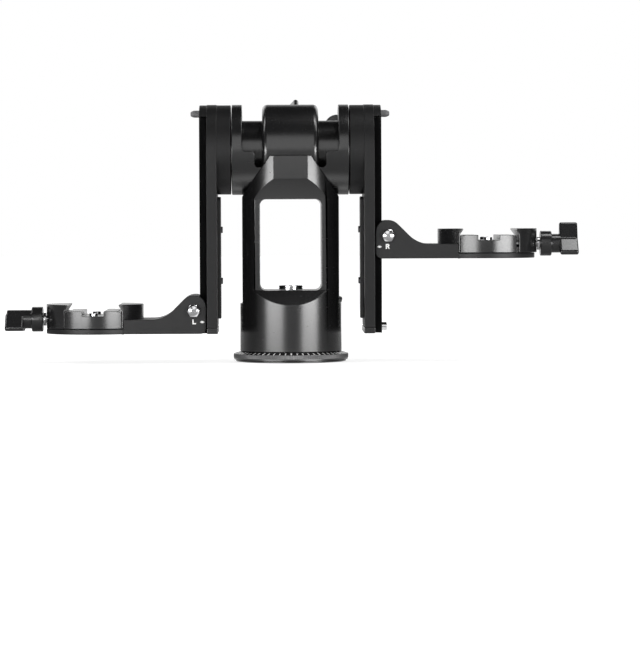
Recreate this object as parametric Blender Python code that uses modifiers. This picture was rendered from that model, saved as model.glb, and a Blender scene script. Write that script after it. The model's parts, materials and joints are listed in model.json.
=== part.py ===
"""Gimbal tripod head with two swing arms, each with a sliding platform and a quick-release clamp.

The origin is the centre of the underside of the base, +Z is up and the front looks along -Y.
The pan axis is Z. The tilt axis is parallel to X, at height TILT_Z.
"""

from math import asin, atan2, cos, pi, radians, sin, sqrt, tan

import bmesh
import bpy
from mathutils import Matrix, Vector

MM = 0.001
GAP = 0.3 * MM
OVERRUN = 2.0 * MM
WELD = 0.001 * MM
WIDE_STEPS = 48
MID_STEPS = 24
FINE_STEPS = 16
ARC_STEPS = 4

# Base: flange, axle, thread insert and dial ring
FLANGE_STEP = 1.6 * MM
FLANGE_T = 1.2 * MM
SEAT_R = 29.0 * MM
AXLE_R = 12.0 * MM
AXLE_TOP = 38.0 * MM
INSERT_R = 6.2 * MM
INSERT_L = 14.0 * MM
INSERT_RECESS = 0.5 * MM
TRIPOD_HOLE_R = 4.76 * MM
DIAL_WALL = 10.1 * MM
DIAL_CHAMFER = 4.1 * MM
DIAL_SIDE_H = 3.9 * MM
DIAL_BEVEL_H = 1.3 * MM
PAN_BEARING_L = 10.0 * MM
RETAINER_T = 2.0 * MM
RETAINER_SCREW_R = 2.5 * MM
RETAINER_HEAD_R = 5.0 * MM
RETAINER_HEAD_H = 3.0 * MM
RETAINER_SCREW_L = 14.0 * MM

# Column: round foot, side flats, window with sloped sills, prow and shoulders
PROW_WALL = 3.9 * MM
FLAT_STEP = 1.7 * MM
COLUMN_FLAT_Z = 39.8 * MM
COLUMN_TOP = 139.4 * MM
PROW_HALF = 11.3 * MM
SHOULDER_TOP_HALF = 14.0 * MM
SHOULDER_SLOPE = 27.5 / 18.8
WINDOW_HALF = 20.7 * MM
WINDOW_LOW = 48.6 * MM
WINDOW_TOP_GAP = 3.0 * MM
WINDOW_CORNER_R = 4.0 * MM
FACE_Y = 24.4 * MM
SILL_SLOPE = 0.95
LINTEL_SLOPE = 1.6
BEARING_WALL = 2.4 * MM
PLUG_R = 17.7 * MM
PLUG_T = 3.3 * MM
LEVEL_R = 8.15 * MM
LEVEL_H = 2.7 * MM
LEVEL_FLOOR = 0.6 * MM
VIAL_R = 6.0 * MM

# Tilt hub: ears on the column, drag block, necks, bearings and shaft
TILT_Z = 143.8 * MM
HUB_R = 30.6 * MM
EAR_OUT = 39.6 * MM
EAR_T = 7.0 * MM
EAR_NOTCH_DROP = 1.5 * MM
LUG_IN = 24.0 * MM
SLOT_STEP = 18.2 * MM
BLOCK_HALF = 19.0 * MM
BLOCK_SEAT_STEP = 10.8 * MM
BLOCK_EDGE_R = 3.4 * MM
NECK_STEP = 10.9 * MM
SHAFT_R = 9.0 * MM
TILT_BEARING_WALL = 5.7 * MM

# Swing arms: hub disc, plate, head, dovetail rail, end cap and inner strip
ARM_GAP = 0.6 * MM
ARM_HUB_STEP = 0.3 * MM
ARM_HUB_T = 9.4 * MM
ARM_T = 7.0 * MM
RAIL_T = 4.6 * MM
RAIL_NECK_HALF = 15.0 * MM
RAIL_HALF = 19.0 * MM
RAIL_LOW = 19.6 * MM
HEAD_H = 8.8 * MM
END_CAP_H = 3.8 * MM
END_CAP_LIP = 0.3 * MM
STRIP_T = 2.0 * MM
STRIP_HALF = 9.0 * MM
STRIP_LOW = 29.2 * MM
STRIP_TOP_GAP = 1.3 * MM
STRIP_SCREW_R = 2.2 * MM
STRIP_SCREW_H = 0.9 * MM
STRIP_SCREW_SHARES = (0.31, 0.73)
STOP_HEAD_R = 2.8 * MM
STOP_HEAD_H = 3.5 * MM
STOP_SHANK_R = 1.5 * MM
STOP_LIFT = 3.9 * MM
PIN_R = 2.4 * MM
PIN_L = 5.8 * MM
PIN_LIFT = 2.6 * MM

# Platforms: knuckle round the rail, beam and round seat for the clamp
LEFT_PLATFORM_Z = 19.6 * MM
RIGHT_PLATFORM_Z = 69.8 * MM
KNUCKLE_H = 26.0 * MM
KNUCKLE_TOP_W = 12.3 * MM
KNUCKLE_INNER_R = 8.0 * MM
KNUCKLE_OUTER_R = 9.6 * MM
KNUCKLE_FOOT_R = 4.0 * MM
BEAM_H = 9.8 * MM
BEAM_HALF = 26.4 * MM
BEAM_FILLET_R = 20.0 * MM
SEAT_T = 3.4 * MM
BOLT_OUT = 4.1 * MM
BOLT_Z = 15.6 * MM
BOLT_R = 2.5 * MM
BOLT_HEAD_R = 4.6 * MM
BOLT_HEAD_H = 3.5 * MM
BOLT_TAIL = 6.3 * MM
HEX_SIDES = 6

# Clamps: round body, fixed and moving jaw, shouldered screw, pins
CLAMP_X = 133.2 * MM
CLAMP_R = 33.0 * MM
JAW_DEPTH = 14.0 * MM
CLAMP_BODY_H = 12.0 * MM
JAW_RISE = 4.3 * MM
JAW_LIP = 2.1 * MM
JAW_LIP_T = 0.9 * MM
JAW_TRAVEL_RIGHT = 1.5 * MM
GROOVE_HALF = 7.2 * MM
GROOVE_DEPTH = 3.4 * MM
RELIEF_SPARE = 0.5 * MM
RELIEF_DEPTH = 0.5 * MM
CLAMP_SCREW_R = 2.5 * MM
CLAMP_SCREW_Z = 6.0 * MM
CLAMP_SCREW_INNER = 4.0 * MM
CLAMP_HOLE_SPARE = 8.0 * MM
GUIDE_R = 1.5 * MM
GUIDE_Y = 15.0 * MM
GUIDE_REACH = 8.0 * MM
MOUNT_SCREW_R = 2.8 * MM
MOUNT_SCREW_H = 1.6 * MM
MOUNT_SCREW_Y = 21.0 * MM
WASHER_R = 4.5 * MM
WASHER_T = 1.8 * MM

# Knobs with two wings
COLLAR_R = 8.5 * MM
COLLAR_H = 7.6 * MM
KNOB_NECK_R = 6.4 * MM
KNOB_NECK_H = 5.4 * MM
WING_REACH = 12.2 * MM
WING_TIP_R = 2.0 * MM
WING_ROOT_R = 6.1 * MM
WING_H = 12.4 * MM
WING_ANGLE = radians(120)
HUB_DROP = 0.8 * MM
KNOB_BORE_L = 6.3 * MM
DRAG_SLANT = radians(25)
DRAG_SHANK_L = 14.0 * MM
DRAG_TURN = radians(-10)
PAN_KNOB_ANGLE = radians(62)
PAN_KNOB_Z = 31.5 * MM
PAN_KNOB_TURN = radians(8)
PAN_PAD_L = 4.6 * MM
LOCK_SCREW_R = 2.5 * MM
LEVER_LIFT = 6.2 * MM
LEVER_REACH = 10.2 * MM
LEVER_HUB_R = 5.4 * MM
LEVER_TIP_R = 9.0 * MM
LEVER_T = 5.0 * MM
LEVER_TURN = radians(110)
LEFT_KNOB_TURN = radians(-148)
RIGHT_KNOB_TURN = radians(88)
LEFT_BACK_TURN = radians(-165)
RIGHT_BACK_TURN = radians(-135)

# Places worked out from the sizes above
COLUMN_R = HUB_R + PROW_WALL
COLUMN_FLAT = COLUMN_R - FLAT_STEP
DIAL_R = SEAT_R + DIAL_WALL
DIAL_TOP_R = DIAL_R - DIAL_CHAMFER
FLANGE_R = DIAL_R - FLANGE_STEP
DIAL_LOW = FLANGE_T + GAP
DIAL_TOP = DIAL_LOW + DIAL_SIDE_H + DIAL_BEVEL_H
COLUMN_LOW = DIAL_TOP + GAP
AXLE_SHOULDER = DIAL_TOP - GAP
PAN_BORE_R = AXLE_R + GAP + BEARING_WALL + GAP
PLUG_BORE_R = PLUG_R + GAP
EAR_IN = EAR_OUT - EAR_T
EAR_NOTCH_Z = TILT_Z - EAR_NOTCH_DROP
WINDOW_HIGH = TILT_Z - HUB_R - WINDOW_TOP_GAP
NECK_R = HUB_R - NECK_STEP
SLOT_Z = TILT_Z - HUB_R + SLOT_STEP
BLOCK_LOW = TILT_Z - HUB_R + BLOCK_SEAT_STEP
SHAFT_BORE_R = SHAFT_R + GAP
TILT_BEARING_R = SHAFT_BORE_R + TILT_BEARING_WALL
LEVER_SHANK_L = HUB_R - TILT_BEARING_R - GAP
ARM_HUB_R = HUB_R - ARM_HUB_STEP
ARM_HUB_IN = EAR_OUT + ARM_GAP
ARM_IN = ARM_HUB_IN + ARM_HUB_T
ARM_OUT = ARM_IN + ARM_T
RAIL_IN = ARM_OUT + GAP
RAIL_OUT = RAIL_IN + RAIL_T
RAIL_HIGH = TILT_Z + HUB_R - HEAD_H
STRIP_HIGH = TILT_Z - HUB_R - STRIP_TOP_GAP
KNUCKLE_IN = RAIL_IN + GAP
BOLT_X = RAIL_OUT + BOLT_OUT
CLAMP_BODY_HALF = CLAMP_R - JAW_DEPTH
CLAMP_BASE = SEAT_T + GAP
CLAMP_TOP = CLAMP_BASE + CLAMP_BODY_H
SCREW_Z = CLAMP_BASE + CLAMP_SCREW_Z
PROW_Y = sqrt(COLUMN_R ** 2 - PROW_HALF ** 2)
BACK = Vector((0, 1, 0))
UP = Vector((0, 0, 1))
DRAG_WAY = Vector((0, cos(DRAG_SLANT), sin(DRAG_SLANT)))

FRONT_VIEW = Matrix(((1, 0, 0), (0, 0, -1), (0, 1, 0))).to_4x4()
SIDE_VIEW = Matrix(((0, 0, 1), (1, 0, 0), (0, 1, 0))).to_4x4()
TOP_VIEW = Matrix.Identity(4)


def start_file():
    """Empty the scene and return the collections for parts and cutters."""
    for old in list(bpy.data.objects):
        bpy.data.objects.remove(old)
    parts = bpy.data.collections.new("gimbal_tripod_head")
    cutters = bpy.data.collections.new("cutters")
    for group in (parts, cutters):
        bpy.context.scene.collection.children.link(group)
    return parts, cutters


PARTS, CUTTERS = start_file()


def principled(name, colour, roughness, metallic):
    """Make a material with one Principled BSDF."""
    material = bpy.data.materials.new(name)
    material.use_nodes = True
    shader = material.node_tree.nodes["Principled BSDF"]
    shader.inputs["Base Color"].default_value = (*colour, 1)
    shader.inputs["Roughness"].default_value = roughness
    shader.inputs["Metallic"].default_value = metallic
    material.diffuse_color = (*colour, 1)
    return material


ANODISED = {
    "body": (0.018, 0.018, 0.019),
    "arm": (0.022, 0.022, 0.023),
    "grip": (0.016, 0.016, 0.017),
}


def black_metal(name, tone):
    """Black anodised aluminium, one material for each part."""
    return principled(name, ANODISED[tone], 0.42, 0.6)


def steel(name):
    """Bright steel for fasteners and bearings."""
    return principled(name, (0.62, 0.62, 0.63), 0.25, 1.0)


def brass(name):
    """Brass for bushes and pads."""
    return principled(name, (0.6, 0.45, 0.2), 0.35, 1.0)


def clear_vial(name):
    """Pale green liquid in the bubble level."""
    return principled(name, (0.55, 0.75, 0.3), 0.1, 0.0)


def mesh_object(name, shape, place):
    """Put a bmesh into a new object among the parts."""
    mesh = bpy.data.meshes.new(name)
    shape.to_mesh(mesh)
    shape.free()
    made = bpy.data.objects.new(name, mesh)
    made.matrix_world = place
    PARTS.objects.link(made)
    return made


def settle(source):
    """Replace a curve or a turned profile with the closed mesh that it makes."""
    bpy.context.view_layer.update()
    graph = bpy.context.evaluated_depsgraph_get()
    mesh = bpy.data.meshes.new_from_object(source.evaluated_get(graph))
    shape = bmesh.new()
    shape.from_mesh(mesh)
    bmesh.ops.remove_doubles(shape, verts=shape.verts, dist=WELD)
    bmesh.ops.recalc_face_normals(shape, faces=shape.faces)
    name, place = source.name, source.matrix_world.copy()
    bpy.data.objects.remove(source)
    return mesh_object(name, shape, place)


def frame_along(origin, direction, turn=0.0):
    """A placement whose local +Z runs along direction, turned about it."""
    rotation = Vector(direction).to_track_quat("Z", "Y").to_matrix().to_4x4()
    return Matrix.Translation(origin) @ rotation @ Matrix.Rotation(turn, 4, "Z")


def box(name, low, high):
    """An axis-aligned box between two corners."""
    low, high = Vector(low), Vector(high)
    size = Vector(abs(high[i] - low[i]) for i in range(3))
    shape = bmesh.new()
    bmesh.ops.create_cube(shape, size=1, matrix=Matrix.Diagonal((*size, 1)))
    return mesh_object(name, shape, Matrix.Translation((low + high) / 2))


def rod(name, radius, start, end, sides=MID_STEPS):
    """A cylinder between two points."""
    start, end = Vector(start), Vector(end)
    shape = bmesh.new()
    bmesh.ops.create_cone(
        shape, cap_ends=True, segments=sides, radius1=radius, radius2=radius, depth=(end - start).length
    )
    return mesh_object(name, shape, frame_along((start + end) / 2, end - start))


def turned(name, profile, place, steps=WIDE_STEPS, ring=False):
    """Turn a profile of (radius, height) points about the local Z of place."""
    mesh = bpy.data.meshes.new(name)
    links = [(i, i + 1) for i in range(len(profile) - 1)]
    if ring:
        links.append((len(profile) - 1, 0))
    mesh.from_pydata([(radius, 0, height) for radius, height in profile], links, [])
    source = bpy.data.objects.new(name, mesh)
    source.matrix_world = place
    PARTS.objects.link(source)
    screw = source.modifiers.new("turn", "SCREW")
    screw.axis = "Z"
    screw.steps = steps
    screw.render_steps = steps
    screw.use_merge_vertices = True
    screw.merge_threshold = WELD
    return settle(source)


def sleeve(name, inner, outer, place, length, steps=MID_STEPS):
    """A plain tube that starts at place and runs along its local Z."""
    profile = [(inner, 0), (inner, length), (outer, length), (outer, 0)]
    return turned(name, profile, place, steps, ring=True)


def plate(name, outline, view, low, high):
    """Extrude a flat outline from low to high along the normal of the view."""
    curve = bpy.data.curves.new(name, "CURVE")
    curve.dimensions = "2D"
    curve.fill_mode = "BOTH"
    curve.extrude = (high - low) / 2
    spline = curve.splines.new("POLY")
    spline.points.add(len(outline) - 1)
    for point, (across, along) in zip(spline.points, outline):
        point.co = (across, along, 0, 1)
    spline.use_cyclic_u = True
    source = bpy.data.objects.new(name, curve)
    source.matrix_world = view @ Matrix.Translation((0, 0, (low + high) / 2))
    PARTS.objects.link(source)
    return settle(source)


def rounded(corners, steps=ARC_STEPS):
    """Round the corners of an outline; each corner is (across, along, radius)."""
    outline = []
    count = len(corners)
    for i, (x, y, radius) in enumerate(corners):
        here = Vector((x, y))
        if radius == 0:
            outline.append((x, y))
            continue
        before = (Vector(corners[i - 1][:2]) - here).normalized()
        after = (Vector(corners[(i + 1) % count][:2]) - here).normalized()
        half = before.angle(after) / 2
        start = here + before * (radius / tan(half))
        end = here + after * (radius / tan(half))
        centre = here + (before + after).normalized() * (radius / sin(half))
        first = atan2(start.y - centre.y, start.x - centre.x)
        sweep = atan2(end.y - centre.y, end.x - centre.x) - first
        sweep = (sweep + pi) % (2 * pi) - pi
        for step in range(steps + 1):
            angle = first + sweep * step / steps
            outline.append((centre.x + radius * cos(angle), centre.y + radius * sin(angle)))
    return outline


def shape_with(body, tool, operation="DIFFERENCE"):
    """Cut, join or trim a body with a tool that stays hidden among the cutters."""
    change = body.modifiers.new(tool.name, "BOOLEAN")
    change.operation = operation
    change.solver = "EXACT"
    change.object = tool
    PARTS.objects.unlink(tool)
    CUTTERS.objects.link(tool)
    tool.hide_render = True
    tool.display_type = "WIRE"
    return body


def axis_empty(name, point, parent=None):
    """An empty on a joint's axis."""
    empty = bpy.data.objects.new(name, None)
    empty.empty_display_size = AXLE_R
    PARTS.objects.link(empty)
    empty.location = point
    bpy.context.view_layer.update()
    if parent:
        attach(empty, parent)
    return empty


def attach(child, parent):
    """Parent an object and keep it where it is."""
    bpy.context.view_layer.update()
    child.parent = parent
    child.matrix_parent_inverse = parent.matrix_world.inverted()


def finish(body, material, parent):
    """Give a part its material, smooth shading and parent."""
    body.data.materials.clear()
    body.data.materials.append(material)
    body.data.shade_smooth()
    body.data.set_sharp_from_angle(angle=radians(30))
    if parent:
        attach(body, parent)
    return body


def wing_outline(turn):
    """Outline of one wing of a knob, from its wide root to its round tip."""
    lean = asin((WING_ROOT_R - WING_TIP_R) / WING_REACH)
    first, last = lean - pi / 2, pi / 2 - lean
    outline = [(WING_ROOT_R * cos(turn + last), WING_ROOT_R * sin(turn + last))]
    outline.append((WING_ROOT_R * cos(turn + first), WING_ROOT_R * sin(turn + first)))
    for step in range(2 * ARC_STEPS + 1):
        angle = turn + first + (last - first) * step / (2 * ARC_STEPS)
        across = WING_REACH * cos(turn) + WING_TIP_R * cos(angle)
        outline.append((across, WING_REACH * sin(turn) + WING_TIP_R * sin(angle)))
    return outline


def knob(name, origin, direction, turn, shank=0.0, bore=0.0):
    """A collar, a neck and a grip with two wings, with a shank below or a bore for a screw."""
    place = frame_along(origin, direction, turn)
    neck_top = COLLAR_H + KNOB_NECK_H
    hub_top = neck_top + WING_H - HUB_DROP
    outer = [(COLLAR_R, 0), (COLLAR_R, COLLAR_H), (KNOB_NECK_R, COLLAR_H), (KNOB_NECK_R, hub_top)]
    if bore:
        inner = [(0, KNOB_BORE_L), (bore, KNOB_BORE_L), (bore, 0)]
    else:
        inner = [(0, -shank), (LOCK_SCREW_R, -shank), (LOCK_SCREW_R, 0)]
    core = turned(name, inner + outer + [(0, hub_top)], place, MID_STEPS)
    for number in range(2):
        wing = plate(f"{name}_wing_{number}", wing_outline(number * WING_ANGLE), place, neck_top, neck_top + WING_H)
        shape_with(core, wing, "UNION")
    return core


def make_base():
    """The fixed foot: flange with axle, thread insert, dial ring, bearing, retainer and screw."""
    ground = Matrix.Identity(4)
    flange = turned(
        "base_plate",
        [(0, 0), (FLANGE_R, 0), (FLANGE_R, FLANGE_T), (SEAT_R, FLANGE_T), (SEAT_R, AXLE_SHOULDER),
         (AXLE_R, AXLE_SHOULDER), (AXLE_R, AXLE_TOP), (0, AXLE_TOP)],
        ground,
    )
    insert_hole = INSERT_R + GAP
    shape_with(flange, rod("cut_insert", insert_hole, (0, 0, -OVERRUN), (0, 0, INSERT_L + GAP)))
    screw_low = AXLE_TOP - RETAINER_SCREW_L
    screw_hole = RETAINER_SCREW_R + GAP
    shape_with(flange, rod("cut_axle", screw_hole, (0, 0, screw_low - GAP), (0, 0, AXLE_TOP + OVERRUN), FINE_STEPS))
    finish(flange, black_metal("base_black", "body"), None)

    insert_place = Matrix.Translation(UP * INSERT_RECESS)
    insert = sleeve("thread_insert", TRIPOD_HOLE_R, INSERT_R, insert_place, INSERT_L - INSERT_RECESS)
    finish(insert, steel("insert_steel"), None)

    bevel_low = DIAL_LOW + DIAL_SIDE_H
    dial = turned(
        "dial_ring",
        [(SEAT_R + GAP, DIAL_LOW), (SEAT_R + GAP, DIAL_TOP), (DIAL_TOP_R, DIAL_TOP), (DIAL_R, bevel_low),
         (DIAL_R, DIAL_LOW)],
        ground,
        ring=True,
    )
    finish(dial, black_metal("dial_black", "grip"), None)

    bearing_place = Matrix.Translation(UP * DIAL_TOP)
    bearing = sleeve("pan_bearing", AXLE_R + GAP, PAN_BORE_R - GAP, bearing_place, PAN_BEARING_L)
    finish(bearing, steel("pan_bearing_steel"), None)

    retainer_place = Matrix.Translation(UP * (AXLE_TOP + GAP))
    retainer = sleeve("pan_retainer", screw_hole, PLUG_R - GAP, retainer_place, RETAINER_T)
    finish(retainer, steel("retainer_steel"), None)

    head_low = AXLE_TOP + GAP + RETAINER_T + GAP
    head_top = head_low + RETAINER_HEAD_H
    screw = turned(
        "pan_screw",
        [(0, screw_low), (RETAINER_SCREW_R, screw_low), (RETAINER_SCREW_R, head_low), (RETAINER_HEAD_R, head_low),
         (RETAINER_HEAD_R, head_top), (0, head_top)],
        ground,
        FINE_STEPS,
    )
    finish(screw, steel("pan_screw_steel"), None)


def column_blank():
    """The upright turned body with flats, sloped sills, prow and shoulders."""
    blank = rod("column", COLUMN_R, (0, 0, COLUMN_LOW), (0, 0, COLUMN_TOP), WIDE_STEPS)
    far = COLUMN_R + OVERRUN
    drop = far - FACE_Y
    for side in (-1, 1):
        corner = (side * far, far, COLUMN_TOP + OVERRUN)
        shape_with(blank, box("cut_flat", (side * COLUMN_FLAT, -far, COLUMN_FLAT_Z), corner))
        scoop = [
            (side * FACE_Y, WINDOW_LOW), (side * far, WINDOW_LOW - drop * SILL_SLOPE),
            (side * far, WINDOW_HIGH + drop * LINTEL_SLOPE), (side * FACE_Y, WINDOW_HIGH),
        ]
        shape_with(blank, plate("cut_scoop", scoop, SIDE_VIEW, -far, far))
        prow_low = (-PROW_HALF - OVERRUN, side * PROW_Y, WINDOW_HIGH)
        prow_high = (PROW_HALF + OVERRUN, side * far, COLUMN_TOP + OVERRUN)
        shape_with(blank, box("cut_prow", prow_low, prow_high))
        run = far - SHOULDER_TOP_HALF
        shoulder = [
            (side * SHOULDER_TOP_HALF, COLUMN_TOP), (side * far, COLUMN_TOP - run * SHOULDER_SLOPE),
            (side * far, COLUMN_TOP + OVERRUN), (side * SHOULDER_TOP_HALF, COLUMN_TOP + OVERRUN),
        ]
        shape_with(blank, plate("cut_shoulder", shoulder, FRONT_VIEW, -far, far))
    return blank


def make_column(pan):
    """The turning column: window, hub ears with their slots, bores and the pan lock hole."""
    column = column_blank()
    axis_left, axis_right = (-EAR_OUT, 0, TILT_Z), (EAR_OUT, 0, TILT_Z)
    shape_with(column, rod("join_hub", HUB_R, axis_left, axis_right, WIDE_STEPS), "UNION")

    reach = HUB_R + OVERRUN
    above = TILT_Z + reach
    shape_with(column, box("cut_notch", (-EAR_IN, -reach, EAR_NOTCH_Z), (EAR_IN, reach, above)))

    clear_r = HUB_R + GAP
    for name, half, low in (
        ("cut_slot", LUG_IN, SLOT_Z),
        ("cut_saddle", BLOCK_HALF + GAP, BLOCK_LOW - GAP),
    ):
        room = rod(name, clear_r, (-half, 0, TILT_Z), (half, 0, TILT_Z), WIDE_STEPS)
        trim = box(name + "_trim", (-reach, -reach, low), (reach, reach, above))
        shape_with(column, shape_with(room, trim, "INTERSECT"))

    neck_room = NECK_R + GAP
    bearing_room = TILT_BEARING_R + GAP
    over = EAR_OUT + OVERRUN
    shape_with(column, rod("cut_necks", neck_room, (-EAR_IN, 0, TILT_Z), (EAR_IN, 0, TILT_Z), WIDE_STEPS))
    shape_with(column, rod("cut_ears", bearing_room, (-over, 0, TILT_Z), (over, 0, TILT_Z)))

    corner = WINDOW_CORNER_R
    opening = rounded([
        (-WINDOW_HALF, WINDOW_LOW, corner), (WINDOW_HALF, WINDOW_LOW, corner),
        (WINDOW_HALF, WINDOW_HIGH, corner), (-WINDOW_HALF, WINDOW_HIGH, corner),
    ])
    shape_with(column, plate("cut_window", opening, FRONT_VIEW, -COLUMN_R - OVERRUN, COLUMN_R + OVERRUN))
    shape_with(column, rod("cut_pan_bore", PAN_BORE_R, (0, 0, COLUMN_LOW - OVERRUN), (0, 0, AXLE_TOP), WIDE_STEPS))
    plug_top = WINDOW_LOW + OVERRUN
    shape_with(column, rod("cut_plug", PLUG_BORE_R, (0, 0, AXLE_TOP), (0, 0, plug_top), WIDE_STEPS))

    outward = Vector((cos(PAN_KNOB_ANGLE), sin(PAN_KNOB_ANGLE), 0))
    level = UP * PAN_KNOB_Z
    lock_hole = LOCK_SCREW_R + GAP
    hole_start, hole_end = level + outward * AXLE_R, level + outward * (COLUMN_R + OVERRUN)
    shape_with(column, rod("cut_pan_lock", lock_hole, hole_start, hole_end, FINE_STEPS))

    lever_x = EAR_OUT - EAR_T / 2
    lever_z = TILT_Z + LEVER_LIFT
    lever_start, lever_end = (lever_x, 0, lever_z), (lever_x, reach, lever_z)
    shape_with(column, rod("cut_lever", lock_hole, lever_start, lever_end, FINE_STEPS))
    finish(column, black_metal("column_black", "body"), pan)

    pad_start = AXLE_R + GAP
    pad = rod(
        "pan_brake_pad", LOCK_SCREW_R, level + outward * pad_start,
        level + outward * (pad_start + PAN_PAD_L), FINE_STEPS,
    )
    finish(pad, brass("pad_brass"), pan)


def make_level(pan):
    """The plug in the window floor with the bubble level on it."""
    plug = rod("floor_plug", PLUG_R, (0, 0, WINDOW_LOW - PLUG_T), (0, 0, WINDOW_LOW), WIDE_STEPS)
    finish(plug, black_metal("plug_black", "body"), pan)

    low = WINDOW_LOW + GAP
    room = VIAL_R + GAP
    cup = turned(
        "level_housing",
        [(0, 0), (LEVEL_R, 0), (LEVEL_R, LEVEL_H), (room, LEVEL_H), (room, LEVEL_FLOOR), (0, LEVEL_FLOOR)],
        Matrix.Translation(UP * low),
        MID_STEPS,
    )
    finish(cup, steel("level_steel"), pan)
    vial_low, vial_top = low + LEVEL_FLOOR + GAP, low + LEVEL_H - GAP
    finish(rod("level_vial", VIAL_R, (0, 0, vial_low), (0, 0, vial_top)), clear_vial("vial_green"), pan)


def make_drag_block(pan):
    """The round block between the ears, cut flat where it sits in the column."""
    half, edge = BLOCK_HALF, BLOCK_EDGE_R
    quarter = [pi / 2 * step / ARC_STEPS for step in range(ARC_STEPS + 1)]
    profile = [(SHAFT_BORE_R, -half)]
    profile += [(HUB_R - edge + edge * sin(a), -half + edge - edge * cos(a)) for a in quarter]
    profile += [(HUB_R - edge + edge * cos(a), half - edge + edge * sin(a)) for a in quarter]
    profile.append((SHAFT_BORE_R, half))
    block = turned("drag_block", profile, frame_along(UP * TILT_Z, (1, 0, 0)), ring=True)
    reach = HUB_R + OVERRUN
    shape_with(block, box("cut_block", (-reach, -reach, TILT_Z - reach), (reach, reach, BLOCK_LOW)))
    hole = LOCK_SCREW_R + GAP
    hub_centre = UP * TILT_Z
    start = hub_centre + DRAG_WAY * (HUB_R - DRAG_SHANK_L - GAP)
    shape_with(block, rod("cut_drag", hole, start, hub_centre + DRAG_WAY * reach, FINE_STEPS))
    finish(block, black_metal("block_black", "body"), pan)


def make_tilt_supports(pan):
    """The necks beside the block and the bearings in the ears."""
    for side, word in ((-1, "left"), (1, "right")):
        outward = Vector((side, 0, 0))
        neck_start = BLOCK_HALF + GAP
        neck_l = EAR_IN - GAP - neck_start
        neck_place = frame_along(outward * neck_start + UP * TILT_Z, outward)
        neck = sleeve("neck_bush_" + word, SHAFT_BORE_R, NECK_R, neck_place, neck_l, WIDE_STEPS)
        finish(neck, black_metal("neck_black_" + word, "body"), pan)
        bearing_place = frame_along(outward * (EAR_IN + GAP) + UP * TILT_Z, outward)
        bearing_l = EAR_T - GAP - GAP
        bearing = sleeve("tilt_bearing_" + word, SHAFT_BORE_R, TILT_BEARING_R, bearing_place, bearing_l)
        finish(bearing, steel("tilt_bearing_steel_" + word), pan)


def make_lock_controls(pan):
    """The pan lock knob, the drag knob behind the block and the tilt lock lever behind the right ear."""
    outward = Vector((cos(PAN_KNOB_ANGLE), sin(PAN_KNOB_ANGLE), 0))
    seat = outward * (COLUMN_R + GAP) + UP * PAN_KNOB_Z
    shank = COLUMN_R - AXLE_R - GAP - PAN_PAD_L
    pan_axis = axis_empty("pan_lock_axis", seat, pan)
    pan_knob = knob("pan_lock_knob", seat, outward, PAN_KNOB_TURN, shank=shank)
    finish(pan_knob, black_metal("pan_knob_black", "grip"), pan_axis)

    drag_seat = UP * TILT_Z + DRAG_WAY * (HUB_R + GAP)
    drag_axis = axis_empty("drag_axis", drag_seat, pan)
    drag = knob("drag_knob", drag_seat, DRAG_WAY, DRAG_TURN, shank=DRAG_SHANK_L)
    finish(drag, black_metal("drag_knob_black", "grip"), drag_axis)

    lever_seat = Vector((EAR_OUT - EAR_T / 2, HUB_R + GAP, TILT_Z + LEVER_LIFT))
    lever_axis = axis_empty("tilt_lock_axis", lever_seat, pan)
    finish(make_lever(lever_seat), black_metal("lever_black", "grip"), lever_axis)


def make_lever(seat):
    """A flat lever that tapers from its hub to a round tip, on a threaded shank."""
    tip_x, tip_z = LEVER_REACH * cos(LEVER_TURN), LEVER_REACH * sin(LEVER_TURN)
    lean = atan2(LEVER_HUB_R - LEVER_TIP_R, LEVER_REACH)
    outline = []
    for centre_x, centre_z, radius, first, last in (
        (tip_x, tip_z, LEVER_TIP_R, lean - pi / 2, pi / 2 - lean),
        (0, 0, LEVER_HUB_R, pi / 2 - lean, pi * 1.5 + lean),
    ):
        for step in range(2 * ARC_STEPS + 1):
            angle = LEVER_TURN + first + (last - first) * step / (2 * ARC_STEPS)
            point = (seat.x + centre_x + radius * cos(angle), seat.z + centre_z + radius * sin(angle))
            outline.append(point)
    lever = plate("tilt_lock_lever", outline, FRONT_VIEW, -seat.y - LEVER_T, -seat.y)
    shank_start = seat - BACK * LEVER_SHANK_L
    shank = rod("join_lever_shank", LOCK_SCREW_R, shank_start, seat + BACK * (LEVER_T / 2), FINE_STEPS)
    return shape_with(lever, shank, "UNION")


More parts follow.
